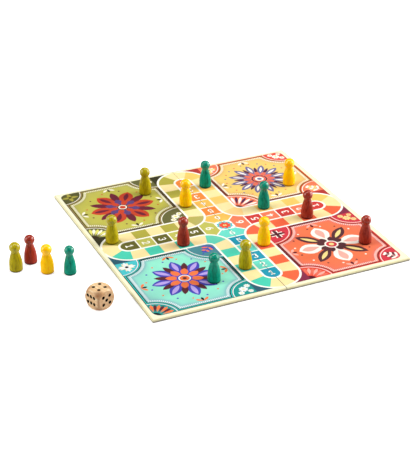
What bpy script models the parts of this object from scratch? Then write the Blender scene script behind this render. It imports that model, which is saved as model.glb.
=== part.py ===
"""Folding ludo board with its turned pawns and its die.

The board is two greyboard halves. Each is wrapped in a printed sheet that turns in under its three
outer edges, is lined underneath, and is joined to the other by a strip of tape across the fold.
The pawns stand on the track, in the yards and beside the board, where the die lies too.

Frame: origin at the middle of the fold on the underside, +X towards the right-hand half, +Y towards
the back edge, +Z up. Lengths are in metres.
"""

import math

import bmesh
import bpy
from mathutils import Matrix, Vector

MM = 0.001

# Board
BOARD_SIDE = 250.0 * MM
CORE_THICKNESS = 2.2 * MM
SHEET_THICKNESS = 0.3 * MM
GLUE_LINE = 0.1 * MM
FOLD_GAP = 0.4 * MM
EDGE_RADIUS = 1.0 * MM
CORNER_RADIUS = 1.6 * MM
TURN_IN = 5.0 * MM
BUTT_GAP = 0.3 * MM
TAPE_WIDTH = 24.0 * MM
FOLD_AXIS_DROP = 0.15 * MM

# Track that the pawns stand on, its cells counted from the outer end of a lane
LANE_CENTRE = 17.0 * MM
LANE_START_INSET = 46.7 * MM
CELL_PITCH = 14.6 * MM
TURN_CENTRE_INSET = 27.8 * MM
TURN_CELL_ANGLE = math.radians(54.5)
OUTWARD_NUDGE = 2.8 * MM
INWARD_NUDGE = 2.0 * MM
SLIGHT_NUDGE = 0.6 * MM

# Pawns in the yards: distance from the board's side edge, then from its front or back edge
OLIVE_YARD = (82.5 * MM, 33.5 * MM)
RED_YARD = (23.0 * MM, 42.0 * MM)
YELLOW_YARD = (31.0 * MM, 74.0 * MM)
TEAL_YARD = (73.0 * MM, 37.0 * MM)

# Pieces on the table: distance from the board's left edge, then forward of its middle
OLIVE_TABLE = (75.5 * MM, -7.3 * MM)
RED_TABLE = (59.5 * MM, -14.8 * MM)
YELLOW_TABLE = (51.5 * MM, 7.7 * MM)
TEAL_TABLE = (34.0 * MM, 18.2 * MM)
DIE_TABLE = (29.4 * MM, 79.7 * MM)

# Pawn
PAWN_HEIGHT = 27.5 * MM
HEAD_DIAMETER = 9.6 * MM
NECK_DIAMETER = 6.2 * MM
NECK_LENGTH = 0.5 * MM
BELLY_DIAMETER = 12.0 * MM
BELLY_HEIGHT = 3.5 * MM
BODY_FULLNESS = 0.85
FOOT_ROUND = 0.8 * MM
SEAT_GAP = 0.2 * MM

# Die
DIE_SIDE = 18.0 * MM
DIE_BALL_DIAMETER = 24.2 * MM
PIP_DIAMETER = 2.4 * MM
PIP_DEPTH = 0.5 * MM
PIP_SPACING = 3.45 * MM
SIX_ACROSS = 1.13
SIX_ROWS = 0.88
DIE_YAW = math.radians(20.3)

# Counts and cutting allowance
EDGE_STEPS = 3
CORNER_STEPS = 4
HEAD_STEPS = 6
BODY_STEPS = 6
FOOT_STEPS = 2
TURNED_SIDES = 16
BALL_SEGMENTS = 28
BALL_RINGS = 14
PIP_SIDES = 10
CUT_OVERSHOOT = 2.0 * MM
LEAST_ROUND = 0.05 * MM
SHARP_TURNING = math.radians(40.0)
SHARP_DIE_EDGE = math.radians(25.0)

# Heights and half widths that follow
CORE_BOTTOM = SHEET_THICKNESS + GLUE_LINE
CORE_TOP = CORE_BOTTOM + CORE_THICKNESS
BOARD_TOP = CORE_TOP + GLUE_LINE + SHEET_THICKNESS
BOARD_HALF = BOARD_SIDE / 2
FOLD_HALF = FOLD_GAP / 2
LINED_HALF = BOARD_HALF - TURN_IN - BUTT_GAP

# Ways on the board, as seen from above
LEFT = Vector((-1.0, 0.0))
RIGHT = Vector((1.0, 0.0))
FRONT = Vector((0.0, -1.0))
BACK = Vector((0.0, 1.0))

# Each material's colour and roughness
FINISHES = {
    "greyboard": ((0.36, 0.32, 0.27), 0.9),
    "printed_paper": ((0.93, 0.87, 0.70), 0.45),
    "liner_paper": ((0.86, 0.80, 0.62), 0.6),
    "cloth_tape": ((0.78, 0.70, 0.52), 0.8),
    "olive_paint": ((0.33, 0.27, 0.02), 0.35),
    "red_paint": ((0.37, 0.03, 0.03), 0.35),
    "yellow_paint": ((0.92, 0.47, 0.01), 0.35),
    "teal_paint": ((0.01, 0.26, 0.17), 0.35),
    "beech": ((0.70, 0.46, 0.26), 0.5),
}


def on_lane(along: Vector, across: Vector, cell: int, nudge: float = 0.0) -> Vector:
    """Place on a straight lane: along its arm, on the side that across names."""
    from_middle = BOARD_HALF - LANE_START_INSET - cell * CELL_PITCH
    return along * (from_middle + nudge) + across * LANE_CENTRE


def on_turn(along: Vector, across: Vector) -> Vector:
    """Place on the round end of an arm, in the cell on the side that across names."""
    centre = along * (BOARD_HALF - TURN_CENTRE_INSET)
    way = along * math.cos(TURN_CELL_ANGLE) + across * math.sin(TURN_CELL_ANGLE)
    return centre + way * LANE_CENTRE


def in_yard(side: Vector, end: Vector, from_side: float, from_end: float) -> Vector:
    """Place in a corner yard, by its distance from the board's two nearest edges."""
    return side * (BOARD_HALF - from_side) + end * (BOARD_HALF - from_end)


def beside_board(from_edge: float, forward: float) -> Vector:
    """Place on the table, to the left of the board's left edge."""
    return LEFT * (BOARD_HALF + from_edge) + FRONT * forward


ON_BOARD = {
    "pawn_olive_1": in_yard(LEFT, BACK, *OLIVE_YARD),
    "pawn_olive_2": on_turn(LEFT, BACK),
    "pawn_olive_3": on_lane(FRONT, LEFT, 0),
    "pawn_red_1": on_lane(LEFT, FRONT, 2, SLIGHT_NUDGE),
    "pawn_red_2": on_lane(RIGHT, FRONT, 0, -SLIGHT_NUDGE),
    "pawn_red_3": in_yard(RIGHT, FRONT, *RED_YARD),
    "pawn_yellow_1": on_lane(BACK, LEFT, 2, OUTWARD_NUDGE),
    "pawn_yellow_2": in_yard(RIGHT, BACK, *YELLOW_YARD),
    "pawn_yellow_3": on_lane(FRONT, RIGHT, 2, -INWARD_NUDGE),
    "pawn_teal_1": on_lane(BACK, RIGHT, 0, OUTWARD_NUDGE),
    "pawn_teal_2": on_lane(RIGHT, BACK, 2),
    "pawn_teal_3": in_yard(LEFT, FRONT, *TEAL_YARD),
}
ON_TABLE = {
    "pawn_olive_4": beside_board(*OLIVE_TABLE),
    "pawn_red_4": beside_board(*RED_TABLE),
    "pawn_yellow_4": beside_board(*YELLOW_TABLE),
    "pawn_teal_4": beside_board(*TEAL_TABLE),
}
DIE_PLACE = beside_board(*DIE_TABLE)


def clear_scene() -> None:
    """Remove every object that the file opened with."""
    for thing in list(bpy.data.objects):
        bpy.data.objects.remove(thing, do_unlink=True)


def finish(name: str) -> bpy.types.Material:
    """Return the named material, made on first use."""
    material = bpy.data.materials.get(name)
    if material is None:
        colour, roughness = FINISHES[name]
        material = bpy.data.materials.new(name)
        material.use_nodes = True
        shader = material.node_tree.nodes["Principled BSDF"]
        shader.inputs["Base Color"].default_value = (*colour, 1.0)
        shader.inputs["Roughness"].default_value = roughness
        shader.inputs["Metallic"].default_value = 0.0
    return material


def make_object(name: str, shape: bmesh.types.BMesh, finish_name: str | None = None):
    """Turn a bmesh into a named object. One with no finish is a cutter and stays out of sight."""
    bmesh.ops.recalc_face_normals(shape, faces=shape.faces)
    mesh = bpy.data.meshes.new(name)
    shape.to_mesh(mesh)
    shape.free()
    thing = bpy.data.objects.new(name, mesh)
    bpy.context.collection.objects.link(thing)
    if finish_name is None:
        thing.hide_render = True
        thing.display_type = "WIRE"
    else:
        mesh.materials.append(finish(finish_name))
    return thing


def cut(thing, cutter, operation: str = "DIFFERENCE") -> None:
    """Add a Boolean to an object."""
    modifier = thing.modifiers.new(cutter.name, "BOOLEAN")
    modifier.operation = operation
    modifier.solver = "EXACT"
    modifier.object = cutter


def box(low: Vector, high: Vector) -> bmesh.types.BMesh:
    """Block between two corners."""
    shape = bmesh.new()
    bmesh.ops.create_cube(shape, size=1.0)
    bmesh.ops.scale(shape, vec=high - low, verts=shape.verts)
    bmesh.ops.translate(shape, vec=(low + high) / 2, verts=shape.verts)
    return shape


def half_outline(inner: float, inset: float, radius: float) -> list[Vector]:
    """Outline of the right half from above, square at the fold and round at its two outer corners."""
    reach = BOARD_HALF - inset
    points = [Vector((inner, -reach))]
    for start, sign in ((-math.pi / 2, -1), (0.0, 1)):
        centre = Vector((reach - radius, sign * (reach - radius)))
        for step in range(CORNER_STEPS + 1):
            angle = start + step / CORNER_STEPS * math.pi / 2
            points.append(centre + radius * Vector((math.cos(angle), math.sin(angle))))
    points.append(Vector((inner, reach)))
    return points


def rounded_half(side: int, inner: float, inset: float, bottom: float, top: float) -> bmesh.types.BMesh:
    """Slab of one half, its three outer edges rounded and shrunk by inset all round."""
    edge = max(EDGE_RADIUS - inset, LEAST_ROUND)
    corner = max(CORNER_RADIUS - inset, edge + LEAST_ROUND)
    levels = []
    for step in range(EDGE_STEPS + 1):
        angle = step / EDGE_STEPS * math.pi / 2
        levels.append((edge * (1 - math.sin(angle)), edge * (1 - math.cos(angle))))
    rings = [(draw, bottom + rise) for draw, rise in levels]
    rings += [(draw, top - rise) for draw, rise in reversed(levels)]

    shape = bmesh.new()
    loops = []
    for draw, height in rings:
        outline = half_outline(inner, inset + draw, corner - draw)
        loops.append([shape.verts.new((side * p.x, p.y, height)) for p in outline])
    count = len(loops[0])
    for lower, upper in zip(loops, loops[1:]):
        for k in range(count):
            nxt = (k + 1) % count
            shape.faces.new((lower[k], lower[nxt], upper[nxt], upper[k]))
    shape.faces.new(loops[0])
    shape.faces.new(loops[-1])
    return shape


def build_half(side: int, name: str) -> list:
    """Core, printed sheet and liner of one half. Returns its objects."""
    core = make_object(
        f"{name}_core_board",
        rounded_half(side, FOLD_HALF, SHEET_THICKNESS + GLUE_LINE, CORE_BOTTOM, CORE_TOP),
        "greyboard",
    )
    sheet = make_object(
        f"{name}_print_sheet", rounded_half(side, FOLD_HALF, 0.0, 0.0, BOARD_TOP), "printed_paper"
    )
    pocket = make_object(
        f"{name}_core_pocket",
        rounded_half(
            side, FOLD_HALF - CUT_OVERSHOOT, SHEET_THICKNESS, SHEET_THICKNESS, BOARD_TOP - SHEET_THICKNESS
        ),
    )
    fold_end = side * (FOLD_HALF - CUT_OVERSHOOT)
    outer_end = side * (BOARD_HALF - TURN_IN)
    window_half = BOARD_HALF - TURN_IN
    window = make_object(
        f"{name}_liner_window",
        box(
            Vector((min(fold_end, outer_end), -window_half, -CUT_OVERSHOOT)),
            Vector((max(fold_end, outer_end), window_half, (CORE_BOTTOM + CORE_TOP) / 2)),
        ),
    )
    cut(sheet, pocket)
    cut(sheet, window)

    tape_end = side * (TAPE_WIDTH / 2 + BUTT_GAP)
    lined_end = side * LINED_HALF
    liner = make_object(
        f"{name}_back_liner",
        box(
            Vector((min(tape_end, lined_end), -LINED_HALF, 0.0)),
            Vector((max(tape_end, lined_end), LINED_HALF, SHEET_THICKNESS)),
        ),
        "liner_paper",
    )
    return [core, sheet, liner, pocket, window]


def build_board() -> None:
    """Both halves and the tape that hinges them. The right half hangs on the fold axis."""
    build_half(-1, "left")
    fold_axis = bpy.data.objects.new("fold_axis", None)
    fold_axis.location = (0.0, 0.0, -FOLD_AXIS_DROP)
    bpy.context.collection.objects.link(fold_axis)
    for thing in build_half(1, "right"):
        thing.parent = fold_axis
        thing.matrix_parent_inverse = Matrix.Translation((0.0, 0.0, FOLD_AXIS_DROP))
    half_tape = Vector((TAPE_WIDTH / 2, LINED_HALF, 0.0))
    make_object("fold_tape", box(-half_tape, half_tape + Vector((0.0, 0.0, SHEET_THICKNESS))), "cloth_tape")


def pawn_profile() -> list[Vector]:
    """Turned outline from the top of the head down to the middle of the foot, as radius and height."""
    head = HEAD_DIAMETER / 2
    neck = NECK_DIAMETER / 2
    belly = BELLY_DIAMETER / 2
    head_centre = PAWN_HEIGHT - head
    neck_angle = math.pi - math.asin(neck / head)
    points = []
    for step in range(HEAD_STEPS + 1):
        angle = neck_angle * step / HEAD_STEPS
        points.append(Vector((head * math.sin(angle), 0.0, head_centre + head * math.cos(angle))))
    shoulder = points[-1].z - NECK_LENGTH
    for step in range(BODY_STEPS + 1):
        part = step / BODY_STEPS
        radius = neck + (belly - neck) * math.sin(part * math.pi / 2) ** BODY_FULLNESS
        points.append(Vector((radius, 0.0, shoulder + (BELLY_HEIGHT - shoulder) * part)))
    for step in range(FOOT_STEPS + 1):
        angle = step / FOOT_STEPS * math.pi / 2
        radius = belly - FOOT_ROUND * (1 - math.cos(angle))
        points.append(Vector((radius, 0.0, FOOT_ROUND * (1 - math.sin(angle)))))
    points.append(Vector((0.0, 0.0, 0.0)))
    return points


def turned_pawn() -> bmesh.types.BMesh:
    """Pawn with its foot on the origin."""
    shape = bmesh.new()
    corners = [shape.verts.new(point) for point in pawn_profile()]
    edges = [shape.edges.new(pair) for pair in zip(corners, corners[1:])]
    bmesh.ops.spin(
        shape,
        geom=corners + edges,
        cent=(0.0, 0.0, 0.0),
        axis=(0.0, 0.0, 1.0),
        angle=math.tau,
        steps=TURNED_SIDES,
        use_merge=True,
    )
    bmesh.ops.remove_doubles(shape, verts=shape.verts, dist=LEAST_ROUND / 2)
    return shape


def build_pawns() -> None:
    """One object for each pawn, standing on the board or on the table."""
    stands = {name: (place, BOARD_TOP + SEAT_GAP) for name, place in ON_BOARD.items()}
    stands.update({name: (place, 0.0) for name, place in ON_TABLE.items()})
    for name, (place, height) in sorted(stands.items()):
        colour = name.split("_")[1]
        pawn = make_object(name, turned_pawn(), f"{colour}_paint")
        pawn.data.shade_smooth()
        pawn.data.set_sharp_from_angle(angle=SHARP_TURNING)
        pawn.location = (place.x, place.y, height)


def pip_pattern(count: int) -> list[Vector]:
    """Places of the pips on one face, in steps of the pip spacing."""
    if count == 6:
        return [Vector((x * SIX_ACROSS, y * SIX_ROWS)) for x in (-1, 0, 1) for y in (-1, 1)]
    corners = [Vector((-1, -1)), Vector((1, 1)), Vector((-1, 1)), Vector((1, -1))]
    middle = [Vector((0, 0))] if count % 2 else []
    return middle + corners[: count // 2 * 2]


def build_die() -> None:
    """Cube whose corners are cut round by a ball, with drilled pips. Opposite faces add up to seven."""
    half = DIE_SIDE / 2
    centre = Vector((DIE_PLACE.x, DIE_PLACE.y, half))
    die = make_object("die", box(Vector((-half,) * 3), Vector((half,) * 3)), "beech")

    ball_shape = bmesh.new()
    bmesh.ops.create_uvsphere(
        ball_shape, u_segments=BALL_SEGMENTS, v_segments=BALL_RINGS, radius=DIE_BALL_DIAMETER / 2
    )
    ball = make_object("die_ball_cut", ball_shape)

    top, front, side = Vector((0, 0, 1)), Vector((0, -1, 0)), Vector((-1, 0, 0))
    faces = ((4, top), (3, -top), (5, front), (2, -front), (6, side), (1, -side))
    drills_shape = bmesh.new()
    for count, normal in faces:
        turn = normal.to_track_quat("Z", "Y").to_matrix().to_4x4()
        for place in pip_pattern(count):
            spot = Vector((place.x * PIP_SPACING, place.y * PIP_SPACING, half))
            bmesh.ops.create_cone(
                drills_shape,
                cap_ends=True,
                segments=PIP_SIDES,
                radius1=PIP_DIAMETER / 2,
                radius2=PIP_DIAMETER / 2,
                depth=2 * PIP_DEPTH,
                matrix=turn @ Matrix.Translation(spot),
            )
    drills = make_object("die_pip_drills", drills_shape)

    cut(die, ball, "INTERSECT")
    cut(die, drills)
    for thing in (die, ball, drills):
        thing.location = centre
        thing.rotation_euler = (0.0, 0.0, DIE_YAW)
    die.data.shade_smooth()
    die.data.set_sharp_from_angle(angle=SHARP_DIE_EDGE)


clear_scene()
build_board()
build_pawns()
build_die()
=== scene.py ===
"""Looks of a folding ludo board, its sixteen painted pawns and its beech die.

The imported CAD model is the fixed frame. Pieces are in metres in that frame. The print is drawn in
millimetres on the board, seen from above, with the middle of the board at its origin.
"""

import logging
import math
from collections.abc import Callable, Sequence
from dataclasses import dataclass, field
from enum import Enum

import bmesh
import bpy
import numpy as np
from mathutils import Matrix, Vector
from mathutils.geometry import delaunay_2d_cdt


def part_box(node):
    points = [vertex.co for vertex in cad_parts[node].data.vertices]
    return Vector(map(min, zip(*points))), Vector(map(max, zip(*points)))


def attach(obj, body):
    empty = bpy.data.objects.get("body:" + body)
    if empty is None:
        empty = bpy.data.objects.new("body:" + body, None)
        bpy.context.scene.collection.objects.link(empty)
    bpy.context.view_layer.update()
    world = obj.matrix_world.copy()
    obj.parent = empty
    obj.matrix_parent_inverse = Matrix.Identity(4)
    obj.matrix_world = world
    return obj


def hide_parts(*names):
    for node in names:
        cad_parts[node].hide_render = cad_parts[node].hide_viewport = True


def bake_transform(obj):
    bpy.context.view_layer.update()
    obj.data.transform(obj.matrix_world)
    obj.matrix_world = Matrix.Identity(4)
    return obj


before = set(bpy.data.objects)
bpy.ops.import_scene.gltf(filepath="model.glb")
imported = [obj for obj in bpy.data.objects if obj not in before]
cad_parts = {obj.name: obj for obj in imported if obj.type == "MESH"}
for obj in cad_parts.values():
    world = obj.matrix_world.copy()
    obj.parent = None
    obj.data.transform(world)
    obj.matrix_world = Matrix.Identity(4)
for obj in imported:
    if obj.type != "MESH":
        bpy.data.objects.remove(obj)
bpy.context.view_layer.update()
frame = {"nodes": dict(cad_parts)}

LOG = logging.getLogger("ludo_board")
MM = 0.001
INK_DENSITY = 0.82
PETAL_STEPS = 8
PETAL_FULLNESS = 0.8
BOW_STEPS = 10
GRAIN_SPAN = (0.3, 0.7)
BUMP_STRENGTH = 0.6
MIX_MASK, MIX_FIRST, MIX_SECOND, MIX_RESULT = 0, 6, 7, 2
TURNING_WELD = 2e-6
DRILL_SUBDIVISIONS = 3

Pair = tuple[float, float]
Triple = tuple[float, float, float]
Tone = tuple[float, float, float, float]
Outline = list[Vector]
Shade = Callable[[Vector], Tone]
Socket = bpy.types.NodeSocket
Tree = bpy.types.NodeTree
ORIGIN = Vector((0.0, 0.0))


def linear(code: str, density: float = INK_DENSITY) -> Tone:
    """Linear colour of an sRGB hex code.

    Args:
        code: The hex code, as the colour looks under the studio's full light.
        density: Share of that light that the colour throws back.

    Returns:
        The colour, with full cover.
    """
    parts = [int(code[k : k + 2], 16) / 255 for k in (0, 2, 4)]
    curve = [c / 12.92 if c <= 0.04045 else ((c + 0.055) / 1.055) ** 2.4 for c in parts]
    red, green, blue = (density * c for c in curve)
    return red, green, blue, 1.0


def between(first: Tone, second: Tone, share: float) -> Tone:
    """Mix of two tones, the second by its share."""
    red, green, blue, alpha = (a + (b - a) * share for a, b in zip(first, second))
    return red, green, blue, alpha


class Ink(Enum):
    """Printing inks, paper tones and painted shades, as sRGB hex codes."""

    PAPER = "F4F0CF"
    # painted shade: the paper on the board's sides and turned edges, darker than the same paper on top
    EDGE = "E6DDA2"
    # painted contact shadow along the bottom of the board's outer edges
    GRIME = "40391F"
    # cut greyboard along the fold, darkened further as painted shade in the fold's gap
    CUT = "4E463A"
    LINE = "FFFDF2"
    CREAM = "FAE3A3"
    TURQUOISE = "4CCFB2"
    OLIVE = "B0A844"
    APRICOT = "FECB69"
    VERMILION = "F56843"
    SEA_DEEP = "2398B2"
    SEA_PALE = "6EDCC8"
    MOSS_DEEP = "66642D"
    MOSS_PALE = "C0BE5C"
    FLAME = "F48A3E"
    AMBER = "F6C25C"
    CRIMSON = "D0403C"
    CORAL = "FC7E5A"
    MIDDLE_SEA = "46C3C8"
    MIDDLE_RED = "F0553A"
    MIDDLE_SUN = "FFE08C"
    MINT = "93E6CA"
    HEATHER = "86BDBE"
    MULBERRY = "2E1620"
    NAVY = "141820"
    CYAN = "2CCCC0"
    FROST = "E9EDEC"
    LAGOON = "1F968E"
    AQUA = "49C0C6"
    STEEL = "4A8790"
    DEEP_SEA = "2F5A6C"
    PEACH = "FBE3B4"
    INDIGO = "4B48B4"
    LILAC = "B9A2E4"
    TANGERINE = "F47A46"
    UMBER = "5A2A32"
    MEADOW = "C1BC51"
    KHAKI = "B0AA58"
    BARK = "38291A"
    STRAW = "A48E54"
    IVORY = "F7F2DC"
    FOREST = "66653A"
    LOAM = "56552F"
    GORSE = "A89F42"
    BOTTLE = "3B3823"
    LEMON = "E1DC6E"
    RUST = "C8462D"
    MAROON = "6E2637"
    VIOLET = "5F4678"
    SUNFLOWER = "F5D074"
    HONEY = "E6BC70"
    PLUM = "5E2A2A"
    SALMON = "E8705A"
    PAPRIKA = "E4523E"
    BRICK = "B23C38"
    SLATE = "78709B"
    AUBERGINE = "5A2D4B"
    SNOW = "FFF6EA"
    PAPAYA = "F0774F"
    ROSE = "E4745F"
    WINE = "561426"
    POPPY = "CF3A48"
    SCARLET = "D24038"
    EMBER = "D8602E"
    BLUSH = "F8DCD6"
    BERRY = "85304A"
    BUTTER = "F7DC8C"
    PINK = "F8AFA0"
    COCOA = "5A3237"

    @property
    def tone(self) -> Tone:
        """Linear colour of the ink."""
        return linear(self.value)


class Arm(Enum):
    """Arms of the track, by quarter turns from the right-hand one."""

    RIGHT = 0
    BACK = 1
    LEFT = 2
    FRONT = 3

    @property
    def turn(self) -> Matrix:
        """Turn from the right-hand arm to this one."""
        return Matrix.Rotation(self.value * math.pi / 2, 2)


class Motif(Enum):
    """Ornaments that fill a corner medallion."""

    FAN = "fan"
    FERN = "fern"
    DAISIES = "daisies"
    STAR = "star"


def polar(radius: float, degrees: float) -> Vector:
    """Point at a distance and an angle from the middle."""
    turn = math.radians(degrees)
    return Vector((radius * math.cos(turn), radius * math.sin(turn)))


def arc(centre: Vector, radius: float, start: float, end: float, steps: int) -> Outline:
    """Points along a circular arc between two angles in degrees."""
    return [centre + polar(radius, start + (end - start) * k / steps) for k in range(steps + 1)]


def disc(centre: Vector, radius: float, sides: int = 20) -> Outline:
    """Outline of a full circle."""
    return arc(centre, radius, 0.0, 360.0, sides)[:-1]


def block(x_low: float, y_low: float, x_high: float, y_high: float) -> Outline:
    """Outline of an upright rectangle."""
    corners = ((x_low, y_low), (x_high, y_low), (x_high, y_high), (x_low, y_high))
    return [Vector(corner) for corner in corners]


def sector(
    centre: Vector, inner: float, outer: float, start: float, end: float, steps: int = 8
) -> Outline:
    """Outline of a piece of a ring between two angles in degrees."""
    return arc(centre, outer, start, end, steps) + arc(centre, inner, end, start, steps)


def ribbon(path: Sequence[Vector], width: float, cap_steps: int = 4) -> Outline:
    """Outline of a strip of even width along an open path, with round ends.

    Args:
        path: Points along the middle of the strip.
        width: Full width of the strip.
        cap_steps: Number of steps round each end.

    Returns:
        The strip's outline.
    """
    half = width / 2
    left: Outline = []
    right: Outline = []
    for k, point in enumerate(path):
        way = (path[min(k + 1, len(path) - 1)] - path[max(k - 1, 0)]).normalized()
        across = Vector((-way.y, way.x)) * half
        left.append(point + across)
        right.append(point - across)
    last_way = math.degrees(math.atan2(*(path[-1] - path[-2]).yx))
    first_way = math.degrees(math.atan2(*(path[1] - path[0]).yx))
    end_cap = arc(path[-1], half, last_way - 90, last_way + 90, cap_steps)[1:-1]
    start_cap = arc(path[0], half, first_way + 90, first_way + 270, cap_steps)[1:-1]
    return right + end_cap + left[::-1] + start_cap


def petal(root: Vector, degrees: float, length: float, width: float, swell: float = 0.5) -> Outline:
    """Outline of a pointed petal or leaf.

    Args:
        root: Point where the petal starts.
        degrees: Way that the petal points.
        length: Length from root to tip.
        width: Full width at the widest place.
        swell: Share of the length at which the petal is widest.

    Returns:
        The petal's outline.
    """
    power = math.log(0.5) / math.log(swell)
    way = polar(1.0, degrees)
    across = Vector((-way.y, way.x))
    left: Outline = []
    right: Outline = []
    for k in range(1, PETAL_STEPS):
        part = k / PETAL_STEPS
        half = width / 2 * math.sin(math.pi * part**power) ** PETAL_FULLNESS
        left.append(root + way * length * part + across * half)
        right.append(root + way * length * part - across * half)
    return [root, *right, root + way * length, *left[::-1]]


def counter_clockwise(outline: Outline) -> Outline:
    """The outline, turned round where it runs clockwise."""
    area = sum(a.x * b.y - b.x * a.y for a, b in zip(outline, outline[1:] + outline[:1]))
    return outline if area > 0 else outline[::-1]


def covered(outline: Outline, spots: np.ndarray) -> np.ndarray:
    """Which spots lie inside an outline.

    Args:
        outline: The outline.
        spots: Two columns of places.

    Returns:
        The numbers of the spots inside.
    """
    ring = np.array([tuple(p) for p in outline])
    near = np.flatnonzero(((spots > ring.min(0)) & (spots < ring.max(0))).all(1))
    x, y = spots[near].T
    inside = np.zeros(len(near), bool)
    for (x0, y0), (x1, y1) in zip(ring, np.roll(ring, -1, 0)):
        if y0 != y1:
            inside ^= ((y0 > y) != (y1 > y)) & (x < (x1 - x0) * (y - y0) / (y1 - y0) + x0)
    return near[inside]


@dataclass(frozen=True)
class Patch:
    """One flat printed shape, with its tone at any point."""

    outline: Outline
    shade: Shade


@dataclass
class Tessellation:
    """Triangles of one half's print.

    Attributes:
        points: Corners of the triangles.
        triangles: Three corner numbers for each triangle.
        tones: Tone at each corner of each triangle.
        border: Corner numbers of the half's outline, in its order.
    """

    points: list[Vector]
    triangles: list[tuple[int, int, int]]
    tones: list[Tone]
    border: list[int]


@dataclass
class Painting:
    """Flat shapes laid on the board, each over those before it."""

    merge: float = 1e-4
    patches: list[Patch] = field(default_factory=list)

    def fill(self, outline: Outline, ink: Ink | Shade, turn: Matrix | None = None) -> None:
        """Lay one shape on the board.

        Args:
            outline: The shape.
            ink: Its ink, or its tone as a function of the place on the board.
            turn: Two by two turn or flip from the outline to the board.
        """
        placed = [turn @ p for p in outline] if turn else list(outline)
        tone = ink.tone if isinstance(ink, Ink) else None
        shade = (lambda _place: tone) if tone else ink
        self.patches.append(Patch(counter_clockwise(placed), shade))

    def tessellate(self, outline: Outline, side: int) -> Tessellation:
        """Cut one half's face into triangles along every printed edge.

        Args:
            outline: Outline of the half's flat top.
            side: Minus one for the left half, one for the right half.

        Returns:
            The triangles, each in the tone of the shape that lies on top there.
        """
        patches = [Patch(counter_clockwise(outline), lambda _place: Ink.PAPER.tone)]
        patches += [p for p in self.patches if max(side * q.x for q in p.outline) > 0]
        points = list(outline)
        faces = []
        for patch in patches:
            faces.append(list(range(len(points), len(points) + len(patch.outline))))
            points.extend(patch.outline)
        found, _, cut, origins, _, _ = delaunay_2d_cdt(points, [], faces, 1, self.merge, True)
        place_of = {old: new for new, olds in enumerate(origins) for old in olds}
        flat = np.array([tuple(p) for p in found])
        middles = flat[np.array([tuple(c) for c in cut])].mean(1)
        top = np.full(len(cut), -1)
        for number, patch in enumerate(patches):
            top[covered(patch.outline, middles)] = number
        on_half = np.zeros(len(cut), bool)
        on_half[covered(outline, middles)] = True
        triangles = [tuple(cut[k]) for k in np.flatnonzero(on_half)]
        tones = [patches[top[k]].shade(found[c]) for k in np.flatnonzero(on_half) for c in cut[k]]
        return Tessellation(found, triangles, tones, [place_of[k] for k in range(len(outline))])


@dataclass(frozen=True)
class PetalRing:
    """Ring of like petals round a middle."""

    count: int
    start: float
    length: float
    width: float
    ink: Ink
    turn: float = 0.0
    swell: float = 0.5

    def paint(self, painting: Painting, centre: Vector, turn: Matrix | None = None) -> None:
        """Lay the petals on the board.

        Args:
            painting: What the petals are laid on.
            centre: Middle of the ring.
            turn: Turn or flip from the ring to the board.
        """
        for k in range(self.count):
            way = self.turn + 360 * k / self.count
            shape = petal(centre + polar(self.start, way), way, self.length, self.width, self.swell)
            painting.fill(shape, self.ink, turn)


@dataclass(frozen=True)
class Rosette:
    """Ornament of petal rings, dots and a round middle."""

    rings: tuple[PetalRing, ...]
    middle: tuple[tuple[float, Ink], ...]
    dots: int
    dot_reach: float
    dot_inks: tuple[Ink, Ink]
    dot_radius: float = 1.0
    dot_sides: int = 12
    middle_sides: int = 28

    def paint(self, painting: Painting, centre: Vector, turn: Matrix | None = None) -> None:
        """Lay the ornament on the board.

        Args:
            painting: What the ornament is laid on.
            centre: Middle of the ornament.
            turn: Turn or flip from the ornament to the board.
        """
        for ring in self.rings:
            ring.paint(painting, centre, turn)
        for radius, ink in self.middle:
            painting.fill(disc(centre, radius, self.middle_sides), ink, turn)
        for k in range(self.dots):
            spot = centre + polar(self.dot_reach, 360 * (k + 0.5) / self.dots)
            dot = disc(spot, self.dot_radius, self.dot_sides)
            painting.fill(dot, self.dot_inks[k % 2], turn)


@dataclass(frozen=True)
class YardInks:
    """Inks of one corner yard and of the lanes beside it."""

    lane: Ink
    panel: Ink
    haze: Ink
    rim: Ink
    rule: Ink
    frame: Ink
    tick: Ink
    spandrel: Ink
    bloom: Ink


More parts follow.
